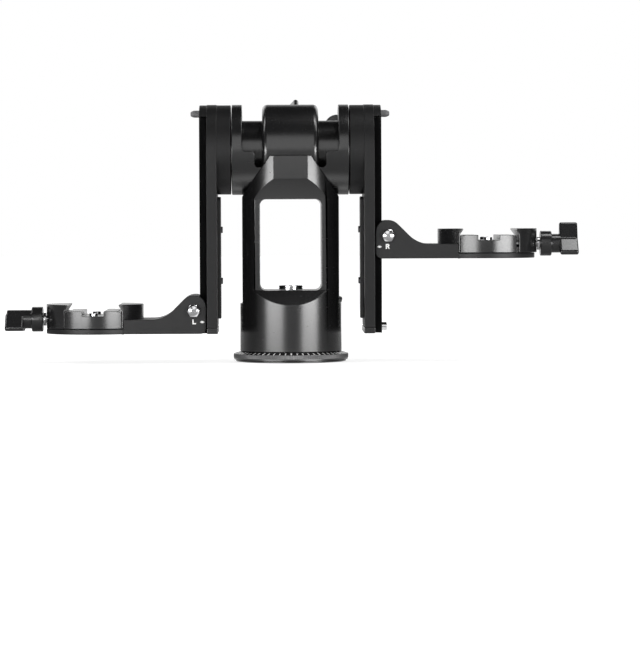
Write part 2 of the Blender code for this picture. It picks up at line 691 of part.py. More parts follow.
def make_arm(side, word, tilt):
    """A swing arm with its rail, end cap, inner strip, screws and index pin."""
    outward = Vector((side, 0, 0))
    hub_centre = UP * TILT_Z
    half_turn = [pi * step / (WIDE_STEPS // 2) for step in range(WIDE_STEPS // 2 + 1)]
    arm_low = RAIL_LOW + END_CAP_H + GAP
    outline = [(HUB_R * cos(a), TILT_Z + HUB_R * sin(a)) for a in half_turn]
    outline += [(-HUB_R, arm_low), (HUB_R, arm_low)]
    span = sorted((side * ARM_IN, side * ARM_OUT))
    arm = plate("arm_" + word, outline, SIDE_VIEW, *span)
    hub_start, hub_end = outward * ARM_HUB_IN + hub_centre, outward * (ARM_IN + OVERRUN) + hub_centre
    shape_with(arm, rod("join_hub_" + word, ARM_HUB_R, hub_start, hub_end, WIDE_STEPS), "UNION")
    head_start = outward * (ARM_OUT - OVERRUN) + hub_centre
    head = rod("join_head_" + word, ARM_HUB_R, head_start, outward * RAIL_OUT + hub_centre, WIDE_STEPS)
    reach = HUB_R + OVERRUN
    trim_low = (side * ARM_HUB_IN, -reach, RAIL_HIGH + GAP)
    trim = box("trim_head_" + word, trim_low, (side * (RAIL_OUT + OVERRUN), reach, TILT_Z + reach))
    shape_with(arm, shape_with(head, trim, "INTERSECT"), "UNION")
    bore_start, bore_end = outward * (ARM_HUB_IN - OVERRUN), outward * (ARM_OUT + OVERRUN)
    shape_with(arm, rod("cut_arm_" + word, SHAFT_BORE_R, bore_start + hub_centre, bore_end + hub_centre))
    finish(arm, black_metal("arm_black_" + word, "arm"), tilt)

    cap_low = (side * (ARM_IN - END_CAP_LIP), -HUB_R, RAIL_LOW)
    cap_high = (side * ARM_OUT, HUB_R, RAIL_LOW + END_CAP_H)
    finish(box("arm_end_" + word, cap_low, cap_high), black_metal("end_black_" + word, "body"), tilt)

    strip_in, strip_out = ARM_IN - GAP - STRIP_T, ARM_IN - GAP
    strip_low, strip_high = (side * strip_in, -STRIP_HALF, STRIP_LOW), (side * strip_out, STRIP_HALF, STRIP_HIGH)
    finish(box("arm_strip_" + word, strip_low, strip_high), black_metal("strip_black_" + word, "arm"), tilt)
    for place, share in zip(("lower", "upper"), STRIP_SCREW_SHARES):
        height = STRIP_LOW + share * (STRIP_HIGH - STRIP_LOW)
        start = (side * (strip_in - GAP - STRIP_SCREW_H), 0, height)
        end = (side * (strip_in - GAP), 0, height)
        screw = rod(f"strip_screw_{word}_{place}", STRIP_SCREW_R, start, end, FINE_STEPS)
        finish(screw, steel(f"strip_screw_steel_{word}_{place}"), tilt)
    make_rail(side, word, tilt)


def rail_outline(side, grow):
    """Plan of the dovetail rail, larger by grow for the groove that runs on it."""
    inner, outer = side * (RAIL_IN - grow), side * (RAIL_OUT + grow)
    neck, wide = RAIL_NECK_HALF + grow, RAIL_HALF + grow
    return [(inner, -neck), (outer, -wide), (outer, wide), (inner, neck)]


def make_rail(side, word, tilt):
    """The dovetail rail with its lower stop screw and upper index pin."""
    rail = plate("rail_" + word, rail_outline(side, 0), TOP_VIEW, RAIL_LOW, RAIL_HIGH)
    stop_z = RAIL_LOW + STOP_LIFT
    start, end = (side * (RAIL_IN - OVERRUN), 0, stop_z), (side * (RAIL_OUT + OVERRUN), 0, stop_z)
    shape_with(rail, rod("cut_stop_" + word, STOP_SHANK_R + GAP, start, end, FINE_STEPS))
    finish(rail, black_metal("rail_black_" + word, "arm"), tilt)

    outward = Vector((side, 0, 0))
    shank_l = RAIL_T + GAP
    stop = turned(
        "stop_screw_" + word,
        [(0, -shank_l), (STOP_SHANK_R, -shank_l), (STOP_SHANK_R, 0), (STOP_HEAD_R, 0), (STOP_HEAD_R, STOP_HEAD_H),
         (0, STOP_HEAD_H)],
        frame_along(outward * (RAIL_OUT + GAP) + UP * stop_z, outward),
        FINE_STEPS,
    )
    finish(stop, steel("stop_steel_" + word), tilt)

    quarter = [pi / 2 * step / ARC_STEPS for step in range(ARC_STEPS)]
    shoulder = PIN_L - PIN_R
    tip = [(PIN_R * cos(a), shoulder + PIN_R * sin(a)) for a in quarter]
    pin_place = frame_along(outward * (RAIL_OUT + GAP) + UP * (RAIL_HIGH + PIN_LIFT), outward)
    pin = turned("index_pin_" + word, [(0, 0), (PIN_R, 0)] + tip + [(0, PIN_L)], pin_place, FINE_STEPS)
    finish(pin, steel("pin_steel_" + word), tilt)


def platform_outline(side, low):
    """Front view of a platform: knuckle beside the rail, slope and flat beam."""
    slope = KNUCKLE_H - BEAM_H
    top_end = KNUCKLE_IN + KNUCKLE_TOP_W
    beam_end = CLAMP_X - CLAMP_R / 2
    corners = [
        (KNUCKLE_IN, 0, KNUCKLE_FOOT_R), (beam_end, 0, 0), (beam_end, BEAM_H, 0),
        (top_end + slope, BEAM_H, BEAM_FILLET_R), (top_end, KNUCKLE_H, KNUCKLE_OUTER_R),
        (KNUCKLE_IN, KNUCKLE_H, KNUCKLE_INNER_R),
    ]
    return rounded([(side * across, low + along, radius) for across, along, radius in corners])


def make_platform(side, word, low, carriage):
    """The sliding platform with its hex bolt and rear knob."""
    platform = plate("platform_" + word, platform_outline(side, low), FRONT_VIEW, -BEAM_HALF, BEAM_HALF)
    centre = Vector((side * CLAMP_X, 0, low))
    room_low, room_high = centre + UP * SEAT_T, centre + UP * (KNUCKLE_H + OVERRUN)
    shape_with(platform, rod("cut_clamp_" + word, CLAMP_R + GAP, room_low, room_high, WIDE_STEPS))
    disc = rod("join_seat_" + word, CLAMP_R, centre, centre + UP * SEAT_T, WIDE_STEPS)
    shape_with(platform, disc, "UNION")
    top = low + KNUCKLE_H
    groove = plate("cut_groove_" + word, rail_outline(side, GAP), TOP_VIEW, low - OVERRUN, top + OVERRUN)
    shape_with(platform, groove)
    stop_half = STOP_HEAD_R + GAP
    stop_top = low + STOP_LIFT + STOP_HEAD_R + GAP
    stop_out = side * (RAIL_OUT + GAP + STOP_HEAD_H + GAP)
    slot = box("cut_stop_slot_" + word, (side * RAIL_IN, -stop_half, low - OVERRUN), (stop_out, stop_half, stop_top))
    shape_with(platform, slot)
    bolt_at = Vector((side * BOLT_X, 0, low + BOLT_Z))
    bolt_hole = BOLT_R + GAP
    past = BACK * (BEAM_HALF + OVERRUN)
    shape_with(platform, rod("cut_bolt_" + word, bolt_hole, bolt_at - past, bolt_at + past, FINE_STEPS))
    finish(platform, black_metal("platform_black_" + word, "arm"), carriage)

    front = bolt_at - BACK * (BEAM_HALF + GAP)
    tail = bolt_at + BACK * (BEAM_HALF + BOLT_TAIL)
    bolt = rod("platform_bolt_" + word, BOLT_R, front - BACK * (BOLT_HEAD_H / 2), tail, FINE_STEPS)
    head = rod("join_hex_" + word, BOLT_HEAD_R, front - BACK * BOLT_HEAD_H, front, HEX_SIDES)
    finish(shape_with(bolt, head, "UNION"), steel("bolt_steel_" + word), carriage)

    knob_seat = bolt_at + BACK * (BEAM_HALF + GAP)
    knob_axis = axis_empty("platform_knob_axis_" + word, knob_seat, carriage)
    turn = LEFT_BACK_TURN if side < 0 else RIGHT_BACK_TURN
    back_knob = knob("platform_knob_" + word, knob_seat, BACK, turn, bore=bolt_hole)
    finish(back_knob, black_metal("platform_knob_black_" + word, "grip"), knob_axis)


def jaw_outline(direction, centre_x, low):
    """Front view of a jaw with its dovetail lip, direction pointing away from the plate."""
    inner = CLAMP_BODY_HALF + GAP
    tip = inner - JAW_LIP
    top = CLAMP_TOP + JAW_RISE
    corners = [
        (inner, CLAMP_BASE), (CLAMP_R + OVERRUN, CLAMP_BASE), (CLAMP_R + OVERRUN, top), (tip, top),
        (tip, top - JAW_LIP_T), (inner, CLAMP_TOP + GAP),
    ]
    return [(centre_x + direction * across, low + along) for across, along in corners]


def make_jaw(name, direction, centre, holes):
    """A jaw cut from the round clamp, with clearance holes along X."""
    outline = jaw_outline(direction, centre.x, centre.z)
    jaw = plate(name, outline, FRONT_VIEW, -CLAMP_R, CLAMP_R)
    trim_low, trim_high = centre, centre + UP * (CLAMP_TOP + JAW_RISE + OVERRUN)
    shape_with(jaw, rod("trim_" + name, CLAMP_R, trim_low, trim_high, WIDE_STEPS), "INTERSECT")
    for number, (across, height, radius) in enumerate(holes):
        start = centre + Vector((0, across, height))
        end = start + Vector((direction * (CLAMP_R + OVERRUN), 0, 0))
        shape_with(jaw, rod(f"cut_{name}_{number}", radius, start, end, FINE_STEPS))
    return jaw


def make_clamp_body(side, word, low, carriage):
    """The round clamp body, its fixed jaw, two guide pins and two mounting screws."""
    centre = Vector((side * CLAMP_X, 0, low))
    base, top = centre + UP * CLAMP_BASE, centre + UP * CLAMP_TOP
    body = rod("clamp_body_" + word, CLAMP_R, base, top, WIDE_STEPS)
    slab = Vector((CLAMP_BODY_HALF, CLAMP_R + OVERRUN, 0))
    trim = box("trim_body_" + word, centre - slab, centre + slab + UP * (CLAMP_TOP + OVERRUN))
    shape_with(body, trim, "INTERSECT")
    floor = CLAMP_TOP - GROOVE_DEPTH
    wide = Vector((GROOVE_HALF, CLAMP_R + OVERRUN, 0))
    groove_low, groove_high = centre - wide + UP * floor, centre + wide + UP * (CLAMP_TOP + OVERRUN)
    shape_with(body, box("cut_plate_groove_" + word, groove_low, groove_high))
    seat_half = CLAMP_BODY_HALF + GAP - JAW_LIP - RELIEF_SPARE
    far = CLAMP_R + OVERRUN
    for name, end in (("inner", -1), ("outer", 1)):
        relief_low = centre + Vector((end * seat_half, -far, CLAMP_TOP - RELIEF_DEPTH))
        relief_high = centre + Vector((end * far, far, CLAMP_TOP + OVERRUN))
        shape_with(body, box(f"cut_relief_{name}_{word}", relief_low, relief_high))
    holes = clamp_holes()
    outward = Vector((side, 0, 0))
    for number, (across, height, radius) in enumerate(holes):
        depth = CLAMP_SCREW_INNER + CLAMP_HOLE_SPARE if across == 0 else GUIDE_REACH - CLAMP_BODY_HALF
        at = centre + Vector((0, across, height))
        start, end = at - outward * depth, at + outward * (CLAMP_BODY_HALF + OVERRUN)
        shape_with(body, rod(f"cut_body_{word}_{number}", radius, start, end, FINE_STEPS))
    finish(body, black_metal("clamp_black_" + word, "body"), carriage)

    fixed = make_jaw("fixed_jaw_" + word, -side, centre, [])
    finish(fixed, black_metal("fixed_jaw_black_" + word, "grip"), carriage)

    for place, toward in (("front", -1), ("rear", 1)):
        at = centre + Vector((0, toward * GUIDE_Y, SCREW_Z))
        pin_start = CLAMP_BODY_HALF - GUIDE_REACH + GAP
        start, end = at + outward * pin_start, at + outward * (CLAMP_BODY_HALF + GUIDE_REACH)
        pin = rod(f"guide_pin_{word}_{place}", GUIDE_R, start, end, FINE_STEPS)
        finish(pin, steel(f"guide_steel_{word}_{place}"), carriage)
        start = centre + Vector((0, toward * MOUNT_SCREW_Y, floor + GAP))
        screw = rod(f"mount_screw_{word}_{place}", MOUNT_SCREW_R, start, start + UP * MOUNT_SCREW_H, FINE_STEPS)
        finish(screw, steel(f"mount_screw_steel_{word}_{place}"), carriage)


def clamp_holes():
    """Clearance holes along X in the clamp: (y, z above the platform's underside, radius)."""
    guide_hole = GUIDE_R + GAP
    return [
        (0, SCREW_Z, CLAMP_SCREW_R + GAP), (-GUIDE_Y, SCREW_Z, guide_hole), (GUIDE_Y, SCREW_Z, guide_hole),
    ]


def make_moving_jaw(side, word, low, opening, turn, carriage):
    """The moving jaw with its shouldered clamp screw and knob."""
    outward = Vector((side, 0, 0))
    centre = Vector((side * (CLAMP_X + opening), 0, low))
    slide = axis_empty("jaw_axis_" + word, centre + UP * SCREW_Z, carriage)
    jaw = make_jaw("moving_jaw_" + word, side, centre, clamp_holes())
    finish(jaw, black_metal("moving_jaw_black_" + word, "grip"), slide)

    at = centre + UP * SCREW_Z
    spin = axis_empty("clamp_knob_axis_" + word, at + outward * CLAMP_R, slide)
    collar_start = CLAMP_R + GAP
    collar_end = collar_start + WASHER_T
    knob_start = collar_end + GAP
    screw_end = knob_start + KNOB_BORE_L - GAP
    screw = turned(
        "clamp_screw_" + word,
        [(0, -CLAMP_SCREW_INNER), (CLAMP_SCREW_R, -CLAMP_SCREW_INNER), (CLAMP_SCREW_R, collar_start),
         (WASHER_R, collar_start), (WASHER_R, collar_end), (CLAMP_SCREW_R, collar_end),
         (CLAMP_SCREW_R, screw_end), (0, screw_end)],
        frame_along(at, outward),
        FINE_STEPS,
    )
    finish(screw, steel("clamp_screw_steel_" + word), spin)
    bore = CLAMP_SCREW_R + GAP
    clamp_knob = knob("clamp_knob_" + word, at + outward * knob_start, outward, turn, bore=bore)
    finish(clamp_knob, black_metal("clamp_knob_black_" + word, "grip"), spin)


def make_head():
    """Build every part on its joint axes."""
    make_base()
    pan = axis_empty("pan_axis", UP * COLUMN_LOW)
    make_column(pan)
    make_level(pan)
    make_drag_block(pan)
    make_tilt_supports(pan)
    make_lock_controls(pan)

    tilt = axis_empty("tilt_axis", UP * TILT_Z, pan)
    shaft_end = ARM_OUT - GAP
    shaft = rod("tilt_shaft", SHAFT_R, (-shaft_end, 0, TILT_Z), (shaft_end, 0, TILT_Z))
    finish(shaft, steel("shaft_steel"), tilt)
    for side, word, low, opening, turn in (
        (-1, "left", LEFT_PLATFORM_Z, 0, LEFT_KNOB_TURN),
        (1, "right", RIGHT_PLATFORM_Z, JAW_TRAVEL_RIGHT, RIGHT_KNOB_TURN),
    ):
        make_arm(side, word, tilt)
        carriage = axis_empty("carriage_axis_" + word, Vector((side * RAIL_OUT, 0, low)), tilt)
        make_platform(side, word, low, carriage)
        make_clamp_body(side, word, low, carriage)
        make_moving_jaw(side, word, low, opening, turn, carriage)


make_head()
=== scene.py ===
"""Gimbal tripod head: bevelled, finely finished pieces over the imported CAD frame.

Every length is in metres in the frame of the CAD: +Z is up, the front looks along -Y and the tilt axis runs along X.
"""

import json
from math import asin, atan2, cos, pi, radians, sin, sqrt, tan

import bmesh
import bpy
from mathutils import Matrix, Vector

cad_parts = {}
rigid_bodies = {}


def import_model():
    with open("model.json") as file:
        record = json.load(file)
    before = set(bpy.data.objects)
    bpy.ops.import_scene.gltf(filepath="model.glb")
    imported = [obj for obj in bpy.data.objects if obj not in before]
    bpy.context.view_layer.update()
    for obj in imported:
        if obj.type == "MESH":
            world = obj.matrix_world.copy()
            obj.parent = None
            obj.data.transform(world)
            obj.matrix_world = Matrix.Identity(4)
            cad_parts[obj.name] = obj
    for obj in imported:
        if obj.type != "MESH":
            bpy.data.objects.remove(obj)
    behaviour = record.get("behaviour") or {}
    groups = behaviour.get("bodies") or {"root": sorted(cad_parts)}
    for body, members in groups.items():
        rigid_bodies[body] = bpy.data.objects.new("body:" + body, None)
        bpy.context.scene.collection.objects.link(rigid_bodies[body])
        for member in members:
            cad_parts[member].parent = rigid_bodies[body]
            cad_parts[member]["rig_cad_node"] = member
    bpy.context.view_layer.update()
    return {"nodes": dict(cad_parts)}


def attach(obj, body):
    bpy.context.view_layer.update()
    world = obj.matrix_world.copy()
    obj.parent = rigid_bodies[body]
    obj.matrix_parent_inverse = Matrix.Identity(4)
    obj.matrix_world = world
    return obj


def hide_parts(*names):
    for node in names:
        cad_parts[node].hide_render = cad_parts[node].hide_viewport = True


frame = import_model()

MM = 0.001
GAP = 0.3 * MM
OVERRUN = 2.0 * MM
WELD = 0.001 * MM
WIDE_STEPS = 144
MID_STEPS = 72
FINE_STEPS = 36
ARC_STEPS = 8

# Base: flange, axle, thread insert and dial ring
FLANGE_STEP = 1.6 * MM
FLANGE_T = 1.2 * MM
SEAT_R = 29.0 * MM
AXLE_R = 12.0 * MM
AXLE_TOP = 38.0 * MM
INSERT_R = 6.2 * MM
INSERT_L = 14.0 * MM
INSERT_RECESS = 0.5 * MM
TRIPOD_HOLE_R = 4.76 * MM
DIAL_WALL = 10.1 * MM
DIAL_CHAMFER = 4.1 * MM
DIAL_SIDE_H = 3.9 * MM
DIAL_BEVEL_H = 1.3 * MM
DIAL_TEETH = 150
DIAL_TOOTH_DEPTH = 0.32 * MM
DIAL_PLAIN_H = 1.1 * MM
DIAL_TICKS = 60
TICK_GROUP = 5

# Column: round foot, side flats, window with sloped sills, prow and shoulders
COLUMN_R = 34.5 * MM
COLUMN_FLAT = 32.8 * MM
COLUMN_FLAT_Z = 39.8 * MM
COLUMN_TOP = 139.4 * MM
PROW_HALF = 11.3 * MM
SHOULDER_TOP_HALF = 14.0 * MM
SHOULDER_SLOPE = 27.5 / 18.8
WINDOW_HALF = 20.7 * MM
WINDOW_LOW = 48.6 * MM
WINDOW_HIGH = 110.2 * MM
WINDOW_CORNER_R = 4.0 * MM
FACE_Y = 24.4 * MM
SILL_SLOPE = 0.95
LINTEL_SLOPE = 1.6
BEARING_WALL = 2.4 * MM
PLUG_R = 17.7 * MM
PLUG_T = 3.3 * MM
LEVEL_R = 8.15 * MM
LEVEL_H = 2.7 * MM
LEVEL_FLOOR = 0.6 * MM
VIAL_R = 6.0 * MM

# Tilt hub: ears on the column, drag block, necks, bearings and shaft
TILT_Z = 143.8 * MM
HUB_R = 30.6 * MM
EAR_OUT = 39.6 * MM
EAR_T = 7.0 * MM
EAR_NOTCH_DROP = 1.5 * MM
LUG_IN = 24.0 * MM
SLOT_STEP = 18.2 * MM
BLOCK_HALF = 19.0 * MM
BLOCK_SEAT_STEP = 10.8 * MM
BLOCK_EDGE_R = 3.4 * MM
NECK_STEP = 10.9 * MM
SHAFT_R = 9.0 * MM
TILT_BEARING_WALL = 5.7 * MM

# Swing arms: hub disc, plate, head, dovetail rail, end cap and inner strip
ARM_GAP = 0.6 * MM
ARM_HUB_STEP = 0.3 * MM
ARM_HUB_T = 9.4 * MM
ARM_T = 7.0 * MM
RAIL_T = 4.6 * MM
RAIL_NECK_HALF = 15.0 * MM
RAIL_HALF = 19.0 * MM
RAIL_LOW = 19.6 * MM
RAIL_SCREW_R = 2.45 * MM
RAIL_SCREW_SHARES = (0.12, 0.38, 0.64, 0.90)
HEAD_H = 8.8 * MM
END_CAP_H = 3.8 * MM
END_CAP_LIP = 0.3 * MM
STRIP_T = 2.0 * MM
STRIP_HALF = 9.0 * MM
STRIP_LOW = 29.2 * MM
STRIP_TOP_GAP = 1.3 * MM
STRIP_SCREW_R = 2.2 * MM
STRIP_SCREW_H = 0.9 * MM
STRIP_SCREW_SHARES = (0.31, 0.73)
STOP_HEAD_R = 2.8 * MM
STOP_HEAD_H = 3.5 * MM
STOP_SHANK_R = 1.5 * MM
STOP_LIFT = 3.9 * MM
PIN_R = 2.4 * MM
PIN_L = 5.8 * MM
PIN_LIFT = 2.6 * MM

# Platforms: knuckle round the rail, beam and round seat for the clamp
LEFT_PLATFORM_Z = 19.6 * MM
RIGHT_PLATFORM_Z = 69.8 * MM
KNUCKLE_H = 26.0 * MM
KNUCKLE_TOP_W = 12.3 * MM
KNUCKLE_INNER_R = 8.0 * MM
KNUCKLE_OUTER_R = 9.6 * MM
KNUCKLE_FOOT_R = 4.0 * MM
BEAM_H = 9.8 * MM
BEAM_HALF = 26.4 * MM
BEAM_FILLET_R = 20.0 * MM
SEAT_T = 3.4 * MM
BOLT_OUT = 4.1 * MM
BOLT_Z = 15.6 * MM
BOLT_R = 2.5 * MM
BOLT_HEAD_R = 4.6 * MM
BOLT_HEAD_H = 3.5 * MM
BOLT_TAIL = 6.3 * MM
HEX_SIDES = 6

# Clamps: round body, fixed and moving jaw, shouldered screw, pins
CLAMP_X = 133.2 * MM
CLAMP_R = 33.0 * MM
JAW_DEPTH = 14.0 * MM
CLAMP_BODY_H = 12.0 * MM
JAW_RISE = 4.3 * MM
JAW_LIP = 2.1 * MM
JAW_LIP_T = 0.9 * MM
JAW_TRAVEL_RIGHT = 1.5 * MM
GROOVE_HALF = 7.2 * MM
GROOVE_DEPTH = 3.4 * MM
RELIEF_SPARE = 0.5 * MM
RELIEF_DEPTH = 0.5 * MM
CLAMP_SCREW_R = 2.5 * MM
CLAMP_SCREW_Z = 6.0 * MM
CLAMP_SCREW_INNER = 4.0 * MM
CLAMP_HOLE_SPARE = 8.0 * MM
GUIDE_R = 1.5 * MM
GUIDE_Y = 15.0 * MM
GUIDE_REACH = 8.0 * MM
MOUNT_SCREW_R = 2.8 * MM
MOUNT_SCREW_H = 1.6 * MM
MOUNT_SCREW_Y = 21.0 * MM
WASHER_R = 4.5 * MM
WASHER_T = 1.8 * MM

# Knobs with two wings
COLLAR_R = 8.5 * MM
COLLAR_H = 7.6 * MM
KNOB_NECK_R = 6.4 * MM
KNOB_NECK_H = 5.4 * MM
WING_REACH = 12.2 * MM
WING_TIP_R = 2.0 * MM
WING_ROOT_R = 6.1 * MM
WING_H = 12.4 * MM
WING_ANGLE = radians(120)
HUB_DROP = 0.8 * MM
DRAG_SLANT = radians(25)
DRAG_SHANK_L = 14.0 * MM
DRAG_TURN = radians(-10)
PAN_KNOB_ANGLE = radians(62)
PAN_KNOB_Z = 31.5 * MM
PAN_KNOB_TURN = radians(8)
PAN_PAD_L = 4.6 * MM
LOCK_SCREW_R = 2.5 * MM
LEVER_LIFT = 6.2 * MM
LEVER_REACH = 10.2 * MM
LEVER_HUB_R = 5.4 * MM
LEVER_TIP_R = 9.0 * MM
LEVER_T = 5.0 * MM
LEVER_TURN = radians(110)
LEFT_KNOB_TURN = radians(-148)
RIGHT_KNOB_TURN = radians(88)
LEFT_BACK_TURN = radians(-165)
RIGHT_BACK_TURN = radians(-135)

# Places worked out from the sizes above
DIAL_R = SEAT_R + DIAL_WALL
DIAL_TOP_R = DIAL_R - DIAL_CHAMFER
FLANGE_R = DIAL_R - FLANGE_STEP
DIAL_LOW = FLANGE_T + GAP
DIAL_TOP = DIAL_LOW + DIAL_SIDE_H + DIAL_BEVEL_H
COLUMN_LOW = DIAL_TOP + GAP
AXLE_SHOULDER = DIAL_TOP - GAP
PAN_BORE_R = AXLE_R + GAP + BEARING_WALL + GAP
PLUG_BORE_R = PLUG_R + GAP
EAR_IN = EAR_OUT - EAR_T
EAR_NOTCH_Z = TILT_Z - EAR_NOTCH_DROP
NECK_R = HUB_R - NECK_STEP
SLOT_Z = TILT_Z - HUB_R + SLOT_STEP
BLOCK_LOW = TILT_Z - HUB_R + BLOCK_SEAT_STEP
SHAFT_BORE_R = SHAFT_R + GAP
TILT_BEARING_R = SHAFT_BORE_R + TILT_BEARING_WALL
LEVER_SHANK_L = HUB_R - TILT_BEARING_R - GAP
ARM_HUB_R = HUB_R - ARM_HUB_STEP
ARM_HUB_IN = EAR_OUT + ARM_GAP
ARM_IN = ARM_HUB_IN + ARM_HUB_T
ARM_OUT = ARM_IN + ARM_T
RAIL_IN = ARM_OUT + GAP
RAIL_OUT = RAIL_IN + RAIL_T
RAIL_HIGH = TILT_Z + HUB_R - HEAD_H
STRIP_HIGH = TILT_Z - HUB_R - STRIP_TOP_GAP
KNUCKLE_IN = RAIL_IN + GAP
BOLT_X = RAIL_OUT + BOLT_OUT
CLAMP_BODY_HALF = CLAMP_R - JAW_DEPTH
CLAMP_BASE = SEAT_T + GAP
CLAMP_TOP = CLAMP_BASE + CLAMP_BODY_H
SCREW_Z = CLAMP_BASE + CLAMP_SCREW_Z
PROW_Y = sqrt(COLUMN_R ** 2 - PROW_HALF ** 2)
BACK = Vector((0, 1, 0))
UP = Vector((0, 0, 1))
DRAG_WAY = Vector((0, cos(DRAG_SLANT), sin(DRAG_SLANT)))

FRONT_VIEW = Matrix(((1, 0, 0), (0, 0, -1), (0, 1, 0))).to_4x4()
SIDE_VIEW = Matrix(((0, 0, 1), (1, 0, 0), (0, 1, 0))).to_4x4()
TOP_VIEW = Matrix.Identity(4)


def rounded(corners, steps=ARC_STEPS):
    """Round the corners of an outline; each corner is (across, along, radius)."""
    outline = []
    count = len(corners)
    for i, (x, y, radius) in enumerate(corners):
        here = Vector((x, y))
        if radius == 0:
            outline.append((x, y))
            continue
        before = (Vector(corners[i - 1][:2]) - here).normalized()
        after = (Vector(corners[(i + 1) % count][:2]) - here).normalized()
        half = before.angle(after) / 2
        start = here + before * (radius / tan(half))
        end = here + after * (radius / tan(half))
        centre = here + (before + after).normalized() * (radius / sin(half))
        first = atan2(start.y - centre.y, start.x - centre.x)
        sweep = atan2(end.y - centre.y, end.x - centre.x) - first
        sweep = (sweep + pi) % (2 * pi) - pi
        for step in range(steps + 1):
            angle = first + sweep * step / steps
            outline.append((centre.x + radius * cos(angle), centre.y + radius * sin(angle)))
    return outline


def wing_outline(turn):
    """Outline of one wing of a knob, from its wide root to its round tip."""
    lean = asin((WING_ROOT_R - WING_TIP_R) / WING_REACH)
    first, last = lean - pi / 2, pi / 2 - lean
    outline = [(WING_ROOT_R * cos(turn + last), WING_ROOT_R * sin(turn + last))]
    outline.append((WING_ROOT_R * cos(turn + first), WING_ROOT_R * sin(turn + first)))
    for step in range(2 * ARC_STEPS + 1):
        angle = turn + first + (last - first) * step / (2 * ARC_STEPS)
        across = WING_REACH * cos(turn) + WING_TIP_R * cos(angle)
        outline.append((across, WING_REACH * sin(turn) + WING_TIP_R * sin(angle)))
    return outline


def rail_outline(side, grow):
    """Plan of the dovetail rail, larger by grow for the groove that runs on it."""
    inner, outer = side * (RAIL_IN - grow), side * (RAIL_OUT + grow)
    neck, wide = RAIL_NECK_HALF + grow, RAIL_HALF + grow
    return [(inner, -neck), (outer, -wide), (outer, wide), (inner, neck)]


def platform_outline(side, low):
    """Front view of a platform: knuckle beside the rail, slope and flat beam."""
    slope = KNUCKLE_H - BEAM_H
    top_end = KNUCKLE_IN + KNUCKLE_TOP_W
    beam_end = CLAMP_X - CLAMP_R / 2
    corners = [
        (KNUCKLE_IN, 0, KNUCKLE_FOOT_R), (beam_end, 0, 0), (beam_end, BEAM_H, 0),
        (top_end + slope, BEAM_H, BEAM_FILLET_R), (top_end, KNUCKLE_H, KNUCKLE_OUTER_R),
        (KNUCKLE_IN, KNUCKLE_H, KNUCKLE_INNER_R),
    ]
    return rounded([(side * across, low + along, radius) for across, along, radius in corners])


def jaw_outline(direction, centre_x, low):
    """Front view of a jaw with its dovetail lip, direction pointing away from the plate."""
    inner = CLAMP_BODY_HALF + GAP
    tip = inner - JAW_LIP
    top = CLAMP_TOP + JAW_RISE
    corners = [
        (inner, CLAMP_BASE), (CLAMP_R + OVERRUN, CLAMP_BASE), (CLAMP_R + OVERRUN, top), (tip, top),
        (tip, top - JAW_LIP_T), (inner, CLAMP_TOP + GAP),
    ]
    return [(centre_x + direction * across, low + along) for across, along in corners]


# Edges, meshes and cuts
EDGE = 0.45 * MM
RIM_STEPS = 3


def put(name, shape, place=None):
    """Put a bmesh into a new object of the scene."""
    mesh = bpy.data.meshes.new(name)
    bmesh.ops.recalc_face_normals(shape, faces=shape.faces)
    shape.to_mesh(mesh)
    shape.free()
    made = bpy.data.objects.new(name, mesh)
    made.matrix_world = place or Matrix.Identity(4)
    bpy.context.scene.collection.objects.link(made)
    return made


def frame_along(origin, direction, turn=0.0):
    """A placement whose local +Z runs along direction, turned about it."""
    rotation = Vector(direction).to_track_quat("Z", "Y").to_matrix().to_4x4()
    return Matrix.Translation(origin) @ rotation @ Matrix.Rotation(turn, 4, "Z")


def box(name, low, high):
    """A box between two corners."""
    low, high = Vector(low), Vector(high)
    size = Vector(abs(high[i] - low[i]) for i in range(3))
    shape = bmesh.new()
    bmesh.ops.create_cube(shape, size=1, matrix=Matrix.Translation((low + high) / 2) @ Matrix.Diagonal((*size, 1)))
    return put(name, shape)


def lathe(name, profile, place=None, steps=WIDE_STEPS, ring=False):
    """Turn a profile of (radius, height, fillet) points about the local Z of place."""
    points = rounded([(*point, 0)[:3] for point in profile], RIM_STEPS)
    shape = bmesh.new()
    angles = [2 * pi * i / steps for i in range(steps)]
    rings = []
    for radius, height in points:
        if radius < WELD:
            rings.append([shape.verts.new((0, 0, height))])
        else:
            rings.append([shape.verts.new((radius * cos(a), radius * sin(a), height)) for a in angles])
    pairs = list(zip(rings, rings[1:]))
    if ring:
        pairs.append((rings[-1], rings[0]))
    for low, high in pairs:
        for i in range(steps):
            j = i + 1
            corners = [low[i % len(low)], low[j % len(low)], high[j % len(high)], high[i % len(high)]]
            unique = list(dict.fromkeys(corners))
            if len(unique) > 2:
                shape.faces.new(unique)
    return put(name, shape, place)


def rod(name, radius, start, end, sides=MID_STEPS, edge=0.0):
    """A cylinder between two points, with rounded rims."""
    start, end = Vector(start), Vector(end)
    length = (end - start).length
    profile = [(0, 0, 0), (radius, 0, edge), (radius, length, edge), (0, length, 0)]
    return lathe(name, profile, frame_along(start, end - start), sides)


